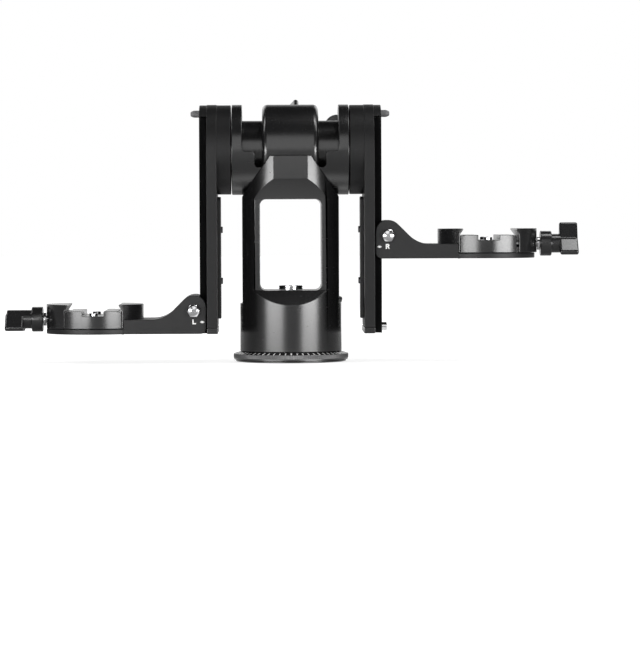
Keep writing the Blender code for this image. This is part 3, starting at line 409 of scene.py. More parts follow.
def slab(name, outline, view, low, high, edge=EDGE):
    """Extrude a flat outline from low to high along the view's normal, with rounded rims."""
    points = [Vector(p) for p in outline]
    points = [p for i, p in enumerate(points) if (p - points[i - 1]).length > WELD]
    count = len(points)
    area = sum(points[i - 1].cross(points[i]) for i in range(count))
    if area < 0:
        points.reverse()
    moves = []
    for i in range(count):
        before = (points[i] - points[i - 1]).normalized()
        after = (points[(i + 1) % count] - points[i]).normalized()
        n1, n2 = Vector((before.y, -before.x)), Vector((after.y, -after.x))
        moves.append((n1 + n2) / max(0.3, 1 + n1.dot(n2)))
    if edge > 0:
        turns = [pi / 2 * step / RIM_STEPS for step in range(RIM_STEPS + 1)]
        rim = [(edge * (1 - sin(a)), low + edge * (1 - cos(a))) for a in turns]
        rim += [(edge * (1 - sin(a)), high - edge * (1 - cos(a))) for a in reversed(turns)]
    else:
        rim = [(0, low), (0, high)]
    shape = bmesh.new()
    rings = [[shape.verts.new((*(p - m * inset), height)) for p, m in zip(points, moves)] for inset, height in rim]
    for below, above in zip(rings, rings[1:]):
        for i in range(count):
            j = (i + 1) % count
            shape.faces.new((below[i], below[j], above[j], above[i]))
    shape.faces.new(list(reversed(rings[0])))
    shape.faces.new(rings[-1])
    return put(name, shape, view.copy())


def shape_with(body, tool, operation="DIFFERENCE"):
    """Queue a cut, union or trim of a body with a tool."""
    change = body.modifiers.new(tool.name, "BOOLEAN")
    change.operation = operation
    change.solver = "EXACT"
    change.object = tool
    return body


def settle(body):
    """Apply a body's modifiers and remove the tools that they used."""
    bpy.context.view_layer.update()
    tools = [change.object for change in body.modifiers if change.type == "BOOLEAN"]
    graph = bpy.context.evaluated_depsgraph_get()
    mesh = bpy.data.meshes.new_from_object(body.evaluated_get(graph))
    body.modifiers.clear()
    body.data = mesh
    for tool in tools:
        bpy.data.objects.remove(tool)
    return body


def soften(body, width=EDGE, angle=32):
    """Apply the cuts, tidy the mesh and round the edges sharper than an angle in degrees."""
    settle(body)
    shape = bmesh.new()
    shape.from_mesh(body.data)
    bmesh.ops.remove_doubles(shape, verts=shape.verts, dist=0.02 * MM)
    bmesh.ops.dissolve_degenerate(shape, edges=shape.edges, dist=0.02 * MM)
    bmesh.ops.dissolve_limit(shape, angle_limit=radians(0.4), verts=shape.verts, edges=shape.edges)
    shape.to_mesh(body.data)
    shape.free()
    if width > 0:
        rounding = body.modifiers.new("rounding", "BEVEL")
        rounding.width = width
        rounding.segments = 2
        rounding.limit_method = "ANGLE"
        rounding.angle_limit = radians(angle)
        rounding.use_clamp_overlap = False
        rounding.miter_outer = "MITER_ARC"
        settle(body)
    return body


def merge(name, parts):
    """Join several objects into the first one's frame as one piece."""
    place = parts[0].matrix_world.copy()
    shape = bmesh.new()
    for part in parts:
        mesh = part.data.copy()
        mesh.transform(place.inverted() @ part.matrix_world)
        shape.from_mesh(mesh)
        bpy.data.meshes.remove(mesh)
    for part in parts:
        bpy.data.objects.remove(part)
    mesh = bpy.data.meshes.new(name)
    shape.to_mesh(mesh)
    shape.free()
    made = bpy.data.objects.new(name, mesh)
    made.matrix_world = place
    bpy.context.scene.collection.objects.link(made)
    return made


def wear(piece, material, body, *nodes, slot=None):
    """Give a piece its material, smooth shading and body, and let it stand for CAD nodes."""
    piece.data.materials.clear()
    piece.data.materials.append(material)
    piece.data.shade_smooth()
    piece.data.set_sharp_from_angle(angle=radians(50))
    even = piece.modifiers.new("even", "WEIGHTED_NORMAL")
    even.keep_sharp = True
    even.weight = 80
    settle(piece)
    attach(piece, body)
    if nodes:
        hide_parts(*nodes)
    return piece


# Finishes
def node_of(tree, kind, links=None, **values):
    """Add a shader node, set its properties or inputs by name, and link inputs."""
    node = tree.nodes.new("ShaderNode" + kind)
    for key, value in values.items():
        if key in node.bl_rna.properties:
            setattr(node, key, value)
        else:
            node.inputs[key.replace("_", " ")].default_value = value
    for key, source in (links or {}).items():
        tree.links.new(source, node.inputs[key])
    return node


def reckon(tree, operation, first, second):
    """Add a math node on two outputs and return its value."""
    return node_of(tree, "Math", {0: first, 1: second}, operation=operation).outputs["Value"]


def finish_of(name, colour, roughness, metallic=0.0, gloss=0.5, grain=0.0, grain_scale=1500.0, streak=0.0, vary=0.2,
              scuff=0.0):
    """A metal or plastic with grain, turning streaks, patchy tone and faint scuffs."""
    material = bpy.data.materials.new(name)
    material.use_nodes = True
    tree = material.node_tree
    shader = tree.nodes["Principled BSDF"]
    shader.inputs["Metallic"].default_value = metallic
    shader.inputs["Specular IOR Level"].default_value = gloss
    place = node_of(tree, "TexCoord").outputs["Object"]

    patch = node_of(tree, "TexNoise", {"Vector": place}, Scale=55.0, Detail=5.0, Roughness=0.6).outputs["Fac"]
    low = [c * (1 - vary) for c in colour]
    high = [min(1.0, c * (1 + vary)) for c in colour]
    tone = node_of(tree, "ValToRGB", {"Fac": patch})
    tone.color_ramp.elements[0].position = 0.3
    tone.color_ramp.elements[0].color = (*low, 1)
    tone.color_ramp.elements[1].position = 0.7
    tone.color_ramp.elements[1].color = (*high, 1)
    rough = node_of(tree, "MapRange", {"Value": patch}, To_Min=roughness * 0.9, To_Max=roughness * 1.1)
    rough = rough.outputs["Result"]
    colour_out = tone.outputs["Color"]

    if scuff > 0:
        stretch = node_of(tree, "Mapping", {"Vector": place}, Rotation=(0.4, 0.7, 0.2), Scale=(60.0, 900.0, 900.0))
        mark = node_of(tree, "TexNoise", {"Vector": stretch.outputs["Vector"]}, Scale=1.0, Detail=3.0).outputs["Fac"]
        thin = node_of(tree, "MapRange", {"Value": mark}, From_Min=0.68, From_Max=0.78).outputs["Result"]
        amount = reckon(tree, "MULTIPLY", thin, patch)
        scaled = node_of(tree, "Math", {0: amount}, operation="MULTIPLY")
        scaled.inputs[1].default_value = scuff
        rough = reckon(tree, "ADD", rough, scaled.outputs["Value"])
    tree.links.new(rough, shader.inputs["Roughness"])
    tree.links.new(colour_out, shader.inputs["Base Color"])

    normal = None
    if grain > 0:
        beads = node_of(tree, "TexNoise", {"Vector": place}, Scale=grain_scale, Detail=2.0).outputs["Fac"]
        bump = node_of(tree, "Bump", {"Height": beads}, Strength=grain, Distance=0.00006)
        normal = bump.outputs["Normal"]
    if streak > 0:
        lines = node_of(tree, "Mapping", {"Vector": place}, Scale=(12.0, 12.0, 5200.0))
        rings = node_of(tree, "TexNoise", {"Vector": lines.outputs["Vector"]}, Scale=1.0, Detail=3.0).outputs["Fac"]
        bump = node_of(tree, "Bump", {"Height": rings}, Strength=streak, Distance=0.00004)
        if normal:
            tree.links.new(normal, bump.inputs["Normal"])
        normal = bump.outputs["Normal"]
    if normal:
        tree.links.new(normal, shader.inputs["Normal"])
    material.diffuse_color = (*colour, 1)
    return material


BODY = finish_of("black_anodised_satin", (0.006, 0.006, 0.0063), 0.26, gloss=0.8, grain=0.06, streak=0.05, scuff=0.12)
ARM = finish_of("black_anodised_blasted", (0.010, 0.010, 0.0105), 0.46, gloss=0.42, grain=0.30, grain_scale=1900.0,
                scuff=0.10)
PLATE = finish_of("black_anodised_arm", (0.006, 0.006, 0.0063), 0.46, gloss=0.34, grain=0.30, grain_scale=1900.0,
                  scuff=0.10)
GRIP = finish_of("black_anodised_polished", (0.010, 0.010, 0.0105), 0.25, gloss=0.8, grain=0.04, scuff=0.12)
# Knurled band: black anodised, its base colour raised well above the body's to paint in the sheen that light gives on
# the fine teeth
KNURL_SHEEN = finish_of("black_anodised_knurl_painted_sheen", (0.05, 0.05, 0.051), 0.35, gloss=0.8, grain=0.1)
MATTE = finish_of("steel_blackened", (0.16, 0.16, 0.163), 0.5, grain=0.1)
STEEL = finish_of("turned_steel", (0.66, 0.66, 0.67), 0.2, metallic=1.0, streak=0.10, vary=0.05, scuff=0.15)
BRASS = finish_of("turned_brass", (0.6, 0.45, 0.2), 0.3, metallic=1.0, streak=0.1, vary=0.06)
PAINT = finish_of("mark_paint", (0.82, 0.82, 0.81), 0.5, grain=0.05, vary=0.04)
SOCKET = finish_of("socket_dark_steel", (0.10, 0.10, 0.105), 0.4, metallic=1.0, grain=0.1, vary=0.15)
LIQUID = finish_of("level_liquid", (0.45, 0.72, 0.16), 0.08, vary=0.05)
LIQUID.node_tree.nodes["Principled BSDF"].inputs["Coat Weight"].default_value = 0.6


# Pieces
def hexagon_of(radius):
    """A hexagon's corners, the first one along +X."""
    return [(radius * cos(pi / 3 * i), radius * sin(pi / 3 * i)) for i in range(HEX_SIDES)]


def socket_head(name, radius, height, place, recess):
    """A screw head with a hex recess, its rim rounded."""
    profile = [(0, 0), (radius, 0), (radius, height, 0.3 * MM), (0, height)]
    head = lathe(name, profile, place, FINE_STEPS)
    shape_with(head, slab(name + "_key", hexagon_of(recess), place, height * 0.4, height * 1.5, 0))
    return settle(head)


def knob(name, origin, direction, turn, shank=0.0):
    """A collar, a smooth neck and a grip with two rounded wings, with a shank below."""
    place = frame_along(origin, direction, turn)
    neck_top = COLLAR_H + KNOB_NECK_H
    grip_top = neck_top + WING_H
    core = [(0, 0), (COLLAR_R, 0, 0.5 * MM), (COLLAR_R, COLLAR_H, 0.7 * MM), (KNOB_NECK_R, COLLAR_H, 0.5 * MM),
            (KNOB_NECK_R, grip_top - HUB_DROP, 0.9 * MM), (0, grip_top - HUB_DROP)]
    parts = [lathe(name + "_core", core, place, MID_STEPS)]
    for number in range(2):
        wing = slab(f"{name}_wing_{number}", wing_outline(number * WING_ANGLE), place, neck_top, grip_top, 1.2 * MM)
        parts.append(wing)
    if shank:
        start = place @ Vector((0, 0, -shank))
        parts.append(rod(name + "_shank", LOCK_SCREW_R, start, place @ Vector((0, 0, MM)), FINE_STEPS))
    return merge(name, parts)


def make_base():
    """The fixed foot and the knurled dial ring with its graduation."""
    ground = Matrix.Identity(4)
    flange = lathe(
        "foot_flange",
        [(0, 0), (FLANGE_R, 0, 0.4 * MM), (FLANGE_R, FLANGE_T, 0.3 * MM), (SEAT_R, FLANGE_T), (SEAT_R, AXLE_SHOULDER),
         (AXLE_R, AXLE_SHOULDER), (AXLE_R, AXLE_TOP), (0, AXLE_TOP)],
        ground,
    )
    hole = INSERT_R + GAP
    shape_with(flange, rod("hole_insert", hole, (0, 0, -OVERRUN), (0, 0, INSERT_L + GAP)))
    wear(soften(flange, 0), BODY, "base", "base_plate", slot="black_body")

    insert = lathe(
        "tripod_insert",
        [(TRIPOD_HOLE_R + 0.6 * MM, INSERT_RECESS), (INSERT_R, INSERT_RECESS, 0.2 * MM), (INSERT_R, INSERT_L),
         (TRIPOD_HOLE_R, INSERT_L), (TRIPOD_HOLE_R, INSERT_RECESS + 0.6 * MM)],
        ground, MID_STEPS, ring=True,
    )
    wear(insert, STEEL, "base", "thread_insert", slot="steel")

    side_top = DIAL_LOW + DIAL_SIDE_H
    root = DIAL_R - DIAL_TOOTH_DEPTH
    plain = [(SEAT_R + GAP, DIAL_LOW), (SEAT_R + GAP, DIAL_TOP), (DIAL_TOP_R, DIAL_TOP, 0.2 * MM),
             (DIAL_R, side_top, 0.1 * MM), (DIAL_R, side_top - 0.15 * MM), (root, side_top - 0.15 * MM),
             (root, DIAL_LOW)]
    wear(lathe("dial_ring_plain", plain, ground, ring=True), BODY, "base", "dial_ring", slot="black_grip")
    shape = bmesh.new()
    band_low, band_high = DIAL_LOW + DIAL_PLAIN_H, side_top - 0.2 * MM
    inner = DIAL_R - 1 * MM
    rim = [(inner, band_high, 0), (DIAL_R, band_high, 1), (DIAL_R, band_low, 1), (inner, band_low, 0)]
    tooth = (0, 0.35, 1, 0.35)
    count = DIAL_TEETH * len(tooth)
    rings = []
    for radius, height, toothed in rim:
        ring = []
        for i in range(count):
            angle = 2 * pi * i / count
            cut = DIAL_TOOTH_DEPTH * tooth[i % len(tooth)] * toothed
            ring.append(shape.verts.new(((radius - cut) * cos(angle), (radius - cut) * sin(angle), height)))
        rings.append(ring)
    for k, ring in enumerate(rings):
        after = rings[(k + 1) % len(rings)]
        for i in range(count):
            j = (i + 1) % count
            shape.faces.new((ring[i], ring[j], after[j], after[i]))
    # The knurled band takes the lighter knurl finish, whose raised colour is painted sheen
    wear(put("dial_knurling", shape), KNURL_SHEEN, "base", slot="black_grip")

    shape = bmesh.new()
    slope = (DIAL_TOP - side_top) / (DIAL_R - DIAL_TOP_R)
    lift = 0.035 * MM
    for number in range(DIAL_TICKS):
        angle = 2 * pi * number / DIAL_TICKS - pi / 2
        major = number % TICK_GROUP == 0
        start = DIAL_TOP_R + (0.2 if major else 0.7) * MM
        end = DIAL_R - 0.4 * MM
        half = (0.42 if major else 0.34) * MM
        across = Vector((-sin(angle), cos(angle), 0)) * half
        out = Vector((cos(angle), sin(angle), 0))
        corners = []
        for radius in (start, end):
            at = out * radius + UP * (DIAL_TOP - (radius - DIAL_TOP_R) * slope + lift)
            corners += [at - across, at + across]
        top = [shape.verts.new(c) for c in corners]
        bottom = [shape.verts.new(c - UP * lift * 2) for c in corners]
        for quad in ((0, 1, 3, 2), (1, 0, 4, 5), (3, 1, 5, 7), (2, 3, 7, 6), (0, 2, 6, 4), (4, 6, 7, 5)):
            both = top + bottom
            shape.faces.new([both[k] for k in quad])
    wear(put("dial_graduation", shape), PAINT, "base")


def make_column():
    """The turning column with its window, sills, prow, shoulders, ears and slots."""
    column = rod("column_dressed", COLUMN_R, (0, 0, COLUMN_LOW), (0, 0, COLUMN_TOP), WIDE_STEPS)
    far = COLUMN_R + OVERRUN
    drop = far - FACE_Y
    for side in (-1, 1):
        corner = (side * far, far, COLUMN_TOP + OVERRUN)
        shape_with(column, box("flat", (side * COLUMN_FLAT, -far, COLUMN_FLAT_Z), corner))
        scoop = [(side * FACE_Y, WINDOW_LOW), (side * far, WINDOW_LOW - drop * SILL_SLOPE),
                 (side * far, WINDOW_HIGH + drop * LINTEL_SLOPE), (side * FACE_Y, WINDOW_HIGH)]
        shape_with(column, slab("scoop", scoop, SIDE_VIEW, -far, far, 0))
        prow_low = (-PROW_HALF - OVERRUN, side * PROW_Y, WINDOW_HIGH)
        shape_with(column, box("prow", prow_low, (PROW_HALF + OVERRUN, side * far, COLUMN_TOP + OVERRUN)))
        run = far - SHOULDER_TOP_HALF
        shoulder = [(side * SHOULDER_TOP_HALF, COLUMN_TOP), (side * far, COLUMN_TOP - run * SHOULDER_SLOPE),
                    (side * far, COLUMN_TOP + OVERRUN), (side * SHOULDER_TOP_HALF, COLUMN_TOP + OVERRUN)]
        shape_with(column, slab("shoulder", shoulder, FRONT_VIEW, -far, far, 0))
    settle(column)
    axis_left, axis_right = (-EAR_OUT, 0, TILT_Z), (EAR_OUT, 0, TILT_Z)
    shape_with(column, rod("hub", HUB_R, axis_left, axis_right, WIDE_STEPS), "UNION")
    reach, above = HUB_R + OVERRUN, TILT_Z + HUB_R + OVERRUN
    soft = 2.2 * MM
    for side in (-1, 1):
        start = BLOCK_HALF - 3 * MM
        notch = rounded([
            (side * start, SLOT_Z, 0), (side * LUG_IN, SLOT_Z, soft), (side * LUG_IN, EAR_NOTCH_Z, soft),
            (side * EAR_IN, EAR_NOTCH_Z, soft), (side * EAR_IN, above, 0), (side * start, above, 0),
        ])
        inside = slab("notch", notch, FRONT_VIEW, -reach, reach, 0)
        room = rod("notch_room", HUB_R + GAP, (-EAR_OUT, 0, TILT_Z), (EAR_OUT, 0, TILT_Z), WIDE_STEPS)
        shape_with(column, settle(shape_with(inside, room, "INTERSECT")))
    saddle = rod("saddle", HUB_R + GAP, (-BLOCK_HALF - GAP, 0, TILT_Z), (BLOCK_HALF + GAP, 0, TILT_Z), WIDE_STEPS)
    trim = box("saddle_trim", (-reach, -reach, BLOCK_LOW - GAP), (reach, reach, above))
    shape_with(column, settle(shape_with(saddle, trim, "INTERSECT")))
    corner = WINDOW_CORNER_R
    opening = rounded([(-WINDOW_HALF, WINDOW_LOW, corner), (WINDOW_HALF, WINDOW_LOW, corner),
                       (WINDOW_HALF, WINDOW_HIGH, corner), (-WINDOW_HALF, WINDOW_HIGH, corner)])
    shape_with(column, slab("window", opening, FRONT_VIEW, -far, far, 0))
    shape_with(column, rod("pan_bore", PAN_BORE_R, (0, 0, COLUMN_LOW - OVERRUN), (0, 0, AXLE_TOP), MID_STEPS))
    shape_with(column, rod("plug_bore", PLUG_BORE_R, (0, 0, AXLE_TOP), (0, 0, WINDOW_LOW + OVERRUN), WIDE_STEPS))
    wear(soften(column, 0.5 * MM), BODY, "column", "column", slot="black_body")


def make_level():
    """The plug in the window floor, the level's housing, liquid, ring mark and bubble."""
    plug = rod("window_floor_plug", PLUG_R, (0, 0, WINDOW_LOW - PLUG_T), (0, 0, WINDOW_LOW), WIDE_STEPS, 0.3 * MM)
    wear(plug, BODY, "column", "floor_plug", slot="black_body")
    low = WINDOW_LOW + GAP
    room = VIAL_R + GAP
    waist = LEVEL_R - 0.3 * MM
    cup = lathe(
        "level_cup",
        [(0, 0), (LEVEL_R, 0), (LEVEL_R, LEVEL_H * 0.35), (waist, LEVEL_H * 0.42), (waist, LEVEL_H * 0.5),
         (LEVEL_R, LEVEL_H * 0.57), (LEVEL_R, LEVEL_H, 0.35 * MM), (room, LEVEL_H), (room, LEVEL_FLOOR),
         (0, LEVEL_FLOOR)],
        Matrix.Translation(UP * low), MID_STEPS,
    )
    wear(cup, STEEL, "column", "level_housing", slot="steel")
    top = LEVEL_H - GAP
    vial = lathe("level_liquid_disc", [(0, LEVEL_FLOOR), (VIAL_R, LEVEL_FLOOR), (VIAL_R, top, 0.4 * MM), (0, top)],
                 Matrix.Translation(UP * low), MID_STEPS)
    wear(vial, LIQUID, "column", "level_vial", slot="vial")
    ring = lathe("level_ring_mark", [(2.1 * MM, 0), (2.1 * MM, 0.05 * MM), (2.35 * MM, 0.05 * MM), (2.35 * MM, 0)],
                 Matrix.Translation(UP * (low + top)), MID_STEPS, ring=True)
    wear(ring, SOCKET, "column")
    bubble = lathe("level_bubble", [(0, 0), (1.6 * MM, 0), (1.6 * MM, 0.08 * MM, 0.06 * MM), (0, 0.12 * MM)],
                   Matrix.Translation(Vector((0.4 * MM, 0.3 * MM, low + top))), FINE_STEPS)
    wear(bubble, PAINT, "column")


def make_hub():
    """The block between the ears and its two necks."""
    half, edge = BLOCK_HALF, BLOCK_EDGE_R
    place = frame_along(UP * TILT_Z, (1, 0, 0))
    block = lathe("drag_block_dressed", [(0, -half), (HUB_R, -half, edge), (HUB_R, half, edge), (0, half)], place)
    reach = HUB_R + OVERRUN
    shape_with(block, box("block_flat", (-reach, -reach, TILT_Z - reach), (reach, reach, BLOCK_LOW)))
    wear(soften(block, 0.3 * MM, 40), BODY, "column", "drag_block", slot="black_body")
    for side, word in ((-1, "left"), (1, "right")):
        outward = Vector((side, 0, 0))
        start = BLOCK_HALF - MM
        end = EAR_IN + MM
        place = frame_along(outward * start + UP * TILT_Z, outward)
        length = end - start
        neck = lathe("neck_dressed_" + word,
                     [(0, 0), (NECK_R, 0), (NECK_R, length), (0, length)], place)
        wear(neck, BODY, "column", "neck_bush_" + word, slot="black_body")


def make_controls():
    """The pan lock knob, the drag knob and the tilt lock lever."""
    outward = Vector((cos(PAN_KNOB_ANGLE), sin(PAN_KNOB_ANGLE), 0))
    seat = outward * (COLUMN_R + GAP) + UP * PAN_KNOB_Z
    shank = COLUMN_R - AXLE_R - GAP - PAN_PAD_L
    pan = knob("pan_lock_knob_dressed", seat, outward, PAN_KNOB_TURN, shank=shank)
    wear(pan, GRIP, "pan_lock", "pan_lock_knob", slot="black_grip")
    drag_seat = UP * TILT_Z + DRAG_WAY * (HUB_R + GAP)
    drag = knob("drag_knob_dressed", drag_seat, DRAG_WAY, DRAG_TURN, shank=DRAG_SHANK_L)
    wear(drag, GRIP, "drag", "drag_knob", slot="black_grip")

    seat = Vector((EAR_OUT - EAR_T / 2, HUB_R + GAP, TILT_Z + LEVER_LIFT))
    tip_x, tip_z = LEVER_REACH * cos(LEVER_TURN), LEVER_REACH * sin(LEVER_TURN)
    lean = atan2(LEVER_HUB_R - LEVER_TIP_R, LEVER_REACH)
    outline = []
    for centre_x, centre_z, radius, first, last in (
        (tip_x, tip_z, LEVER_TIP_R, lean - pi / 2, pi / 2 - lean),
        (0, 0, LEVER_HUB_R, pi / 2 - lean, pi * 1.5 + lean),
    ):
        for step in range(2 * ARC_STEPS + 1):
            angle = LEVER_TURN + first + (last - first) * step / (2 * ARC_STEPS)
            outline.append((seat.x + centre_x + radius * cos(angle), seat.z + centre_z + radius * sin(angle)))
    lever = slab("lever_plate", outline, FRONT_VIEW, -seat.y - LEVER_T, -seat.y, 0.9 * MM)
    shank = rod("lever_shank", LOCK_SCREW_R, seat - BACK * LEVER_SHANK_L, seat + BACK * MM, FINE_STEPS)
    cap = lathe("lever_cap", [(0, 0), (3.4 * MM, 0), (3.4 * MM, 0.3 * MM, 0.15 * MM), (0, 0.3 * MM)],
                frame_along(seat + BACK * (LEVER_T - 0.3 * MM), BACK), FINE_STEPS)
    wear(merge("tilt_lever_dressed", [lever, shank, cap]), GRIP, "tilt_lock", "tilt_lock_lever", slot="black_grip")


def make_arm(side, word):
    """A swing arm with rail, end cap, inner strip and fasteners."""
    outward = Vector((side, 0, 0))
    hub_centre = UP * TILT_Z
    half_turn = [pi * step / (WIDE_STEPS // 2) for step in range(WIDE_STEPS // 2 + 1)]
    arm_low = RAIL_LOW + END_CAP_H + GAP
    outline = [(HUB_R * cos(a), TILT_Z + HUB_R * sin(a)) for a in half_turn]
    outline += [(-HUB_R, arm_low), (HUB_R, arm_low)]
    span = sorted((side * ARM_IN, side * ARM_OUT))
    plate = slab("arm_plate_" + word, outline, SIDE_VIEW, *span, 0.5 * MM)
    hub_l = ARM_IN + MM - ARM_HUB_IN
    hub = lathe("arm_hub_" + word, [(0, 0), (ARM_HUB_R, 0, 0.5 * MM), (ARM_HUB_R, hub_l), (0, hub_l)],
                frame_along(outward * ARM_HUB_IN + hub_centre, outward))
    head_start = outward * (ARM_OUT - MM) + hub_centre
    head_l = RAIL_OUT - ARM_OUT + MM
    head = lathe("arm_head_" + word, [(0, 0), (ARM_HUB_R, 0), (ARM_HUB_R, head_l, 0.5 * MM), (0, head_l)],
                 frame_along(head_start, outward))
    reach = HUB_R + OVERRUN
    trim = box("head_trim", (side * ARM_HUB_IN, -reach, RAIL_HIGH + GAP),
               (side * (RAIL_OUT + OVERRUN), reach, TILT_Z + reach))
    head = soften(shape_with(head, trim, "INTERSECT"), 0.3 * MM, 40)
    wear(merge("arm_dressed_" + word, [plate, hub, head]), PLATE, "arms", "arm_" + word, slot="black_arm")

    cap = [(-HUB_R, RAIL_LOW), (HUB_R, RAIL_LOW), (HUB_R, RAIL_LOW + END_CAP_H), (-HUB_R, RAIL_LOW + END_CAP_H)]
    span = sorted((side * (ARM_IN - END_CAP_LIP), side * ARM_OUT))
    cap = slab("arm_end_dressed_" + word, cap, SIDE_VIEW, *span, 0.4 * MM)
    wear(cap, BODY, "arms", "arm_end_" + word, slot="black_body")

    strip_in, strip_out = ARM_IN - GAP - STRIP_T, ARM_IN - GAP
    half, corner = STRIP_HALF, 3 * MM
    strip = rounded([(-half, STRIP_LOW, corner), (half, STRIP_LOW, corner), (half, STRIP_HIGH, corner),
                     (-half, STRIP_HIGH, corner)])
    span = sorted((side * strip_in, side * (strip_out + 0.2 * MM)))
    strip = slab("arm_strip_dressed_" + word, strip, SIDE_VIEW, *span, 0.3 * MM)
    wear(strip, ARM, "arms", "arm_strip_" + word, slot="black_arm")
    for place, share in zip(("lower", "upper"), STRIP_SCREW_SHARES):
        height = STRIP_LOW + share * (STRIP_HIGH - STRIP_LOW)
        at = frame_along((side * strip_in, 0, height), -outward)
        head = socket_head(f"strip_screw_dressed_{word}_{place}", STRIP_SCREW_R, STRIP_SCREW_H + GAP, at, 1.1 * MM)
        wear(head, SOCKET, "arms", f"strip_screw_{word}_{place}", slot="steel")

    rail = slab("rail_blank_" + word, rail_outline(side, 0), TOP_VIEW, RAIL_LOW, RAIL_HIGH, 0.3 * MM)
    for share in RAIL_SCREW_SHARES:
        height = RAIL_LOW + share * (RAIL_HIGH - RAIL_LOW)
        sink = frame_along((side * (RAIL_OUT - 1.6 * MM), 0, height), outward)
        shape_with(rail, lathe("sink", [(0, 0), (2.6 * MM, 0), (2.9 * MM, 4 * MM), (0, 4 * MM)], sink, FINE_STEPS))
    wear(soften(rail, 0.2 * MM, 40), ARM, "arms", "rail_" + word, slot="black_arm")
    for number, share in enumerate(RAIL_SCREW_SHARES):
        height = RAIL_LOW + share * (RAIL_HIGH - RAIL_LOW)
        at = frame_along((side * (RAIL_OUT - 1.8 * MM), 0, height), outward)
        head = socket_head(f"rail_screw_{word}_{number}", RAIL_SCREW_R, 1.3 * MM, at, 1.3 * MM)
        wear(head, SOCKET, "arms", slot="steel")

    stop_z = RAIL_LOW + STOP_LIFT
    at = frame_along(outward * (RAIL_OUT + GAP) + UP * stop_z, outward)
    head = socket_head("stop_head_" + word, STOP_HEAD_R, STOP_HEAD_H, at, 1.4 * MM)
    shank = rod("stop_shank_" + word, STOP_SHANK_R, outward * (RAIL_OUT - RAIL_T) + UP * stop_z,
                outward * (RAIL_OUT + MM) + UP * stop_z, FINE_STEPS)
    wear(merge("stop_screw_dressed_" + word, [head, shank]), STEEL, "arms", "stop_screw_" + word, slot="steel")
    pin = lathe("index_pin_dressed_" + word,
                [(0, -0.2 * MM), (PIN_R, -0.2 * MM), (PIN_R, PIN_L * 0.6, 2.4 * MM), (PIN_R * 0.62, PIN_L, 1.1 * MM),
                 (0, PIN_L)],
                frame_along(outward * (RAIL_OUT + GAP) + UP * (RAIL_HIGH + PIN_LIFT), outward), FINE_STEPS)
    wear(pin, MATTE, "arms", "index_pin_" + word, slot="steel")


def stroke_mark(name, strokes, width, place):
    """A flat painted mark made of straight strokes in the local XY plane of place."""
    shape = bmesh.new()
    for number, ((x0, y0), (x1, y1)) in enumerate(strokes):
        along = (Vector((x1, y1, 0)) - Vector((x0, y0, 0))).normalized()
        side = Vector((-along.y, along.x, 0)) * width / 2
        start, end = Vector((x0, y0, 0)) - along * width / 2, Vector((x1, y1, 0)) + along * width / 2
        corners = (start - side, end - side, end + side, start + side)
        lower = [shape.verts.new(p - Vector((0, 0, 0.1 * MM))) for p in corners]
        lift = Vector((0, 0, (0.04 + 0.012 * number) * MM))
        upper = [shape.verts.new(p + lift) for p in corners]
        shape.faces.new(upper)
        shape.faces.new(list(reversed(lower)))
        for i in range(4):
            j = (i + 1) % 4
            shape.faces.new((lower[i], lower[j], upper[j], upper[i]))
    return put(name, shape, place)


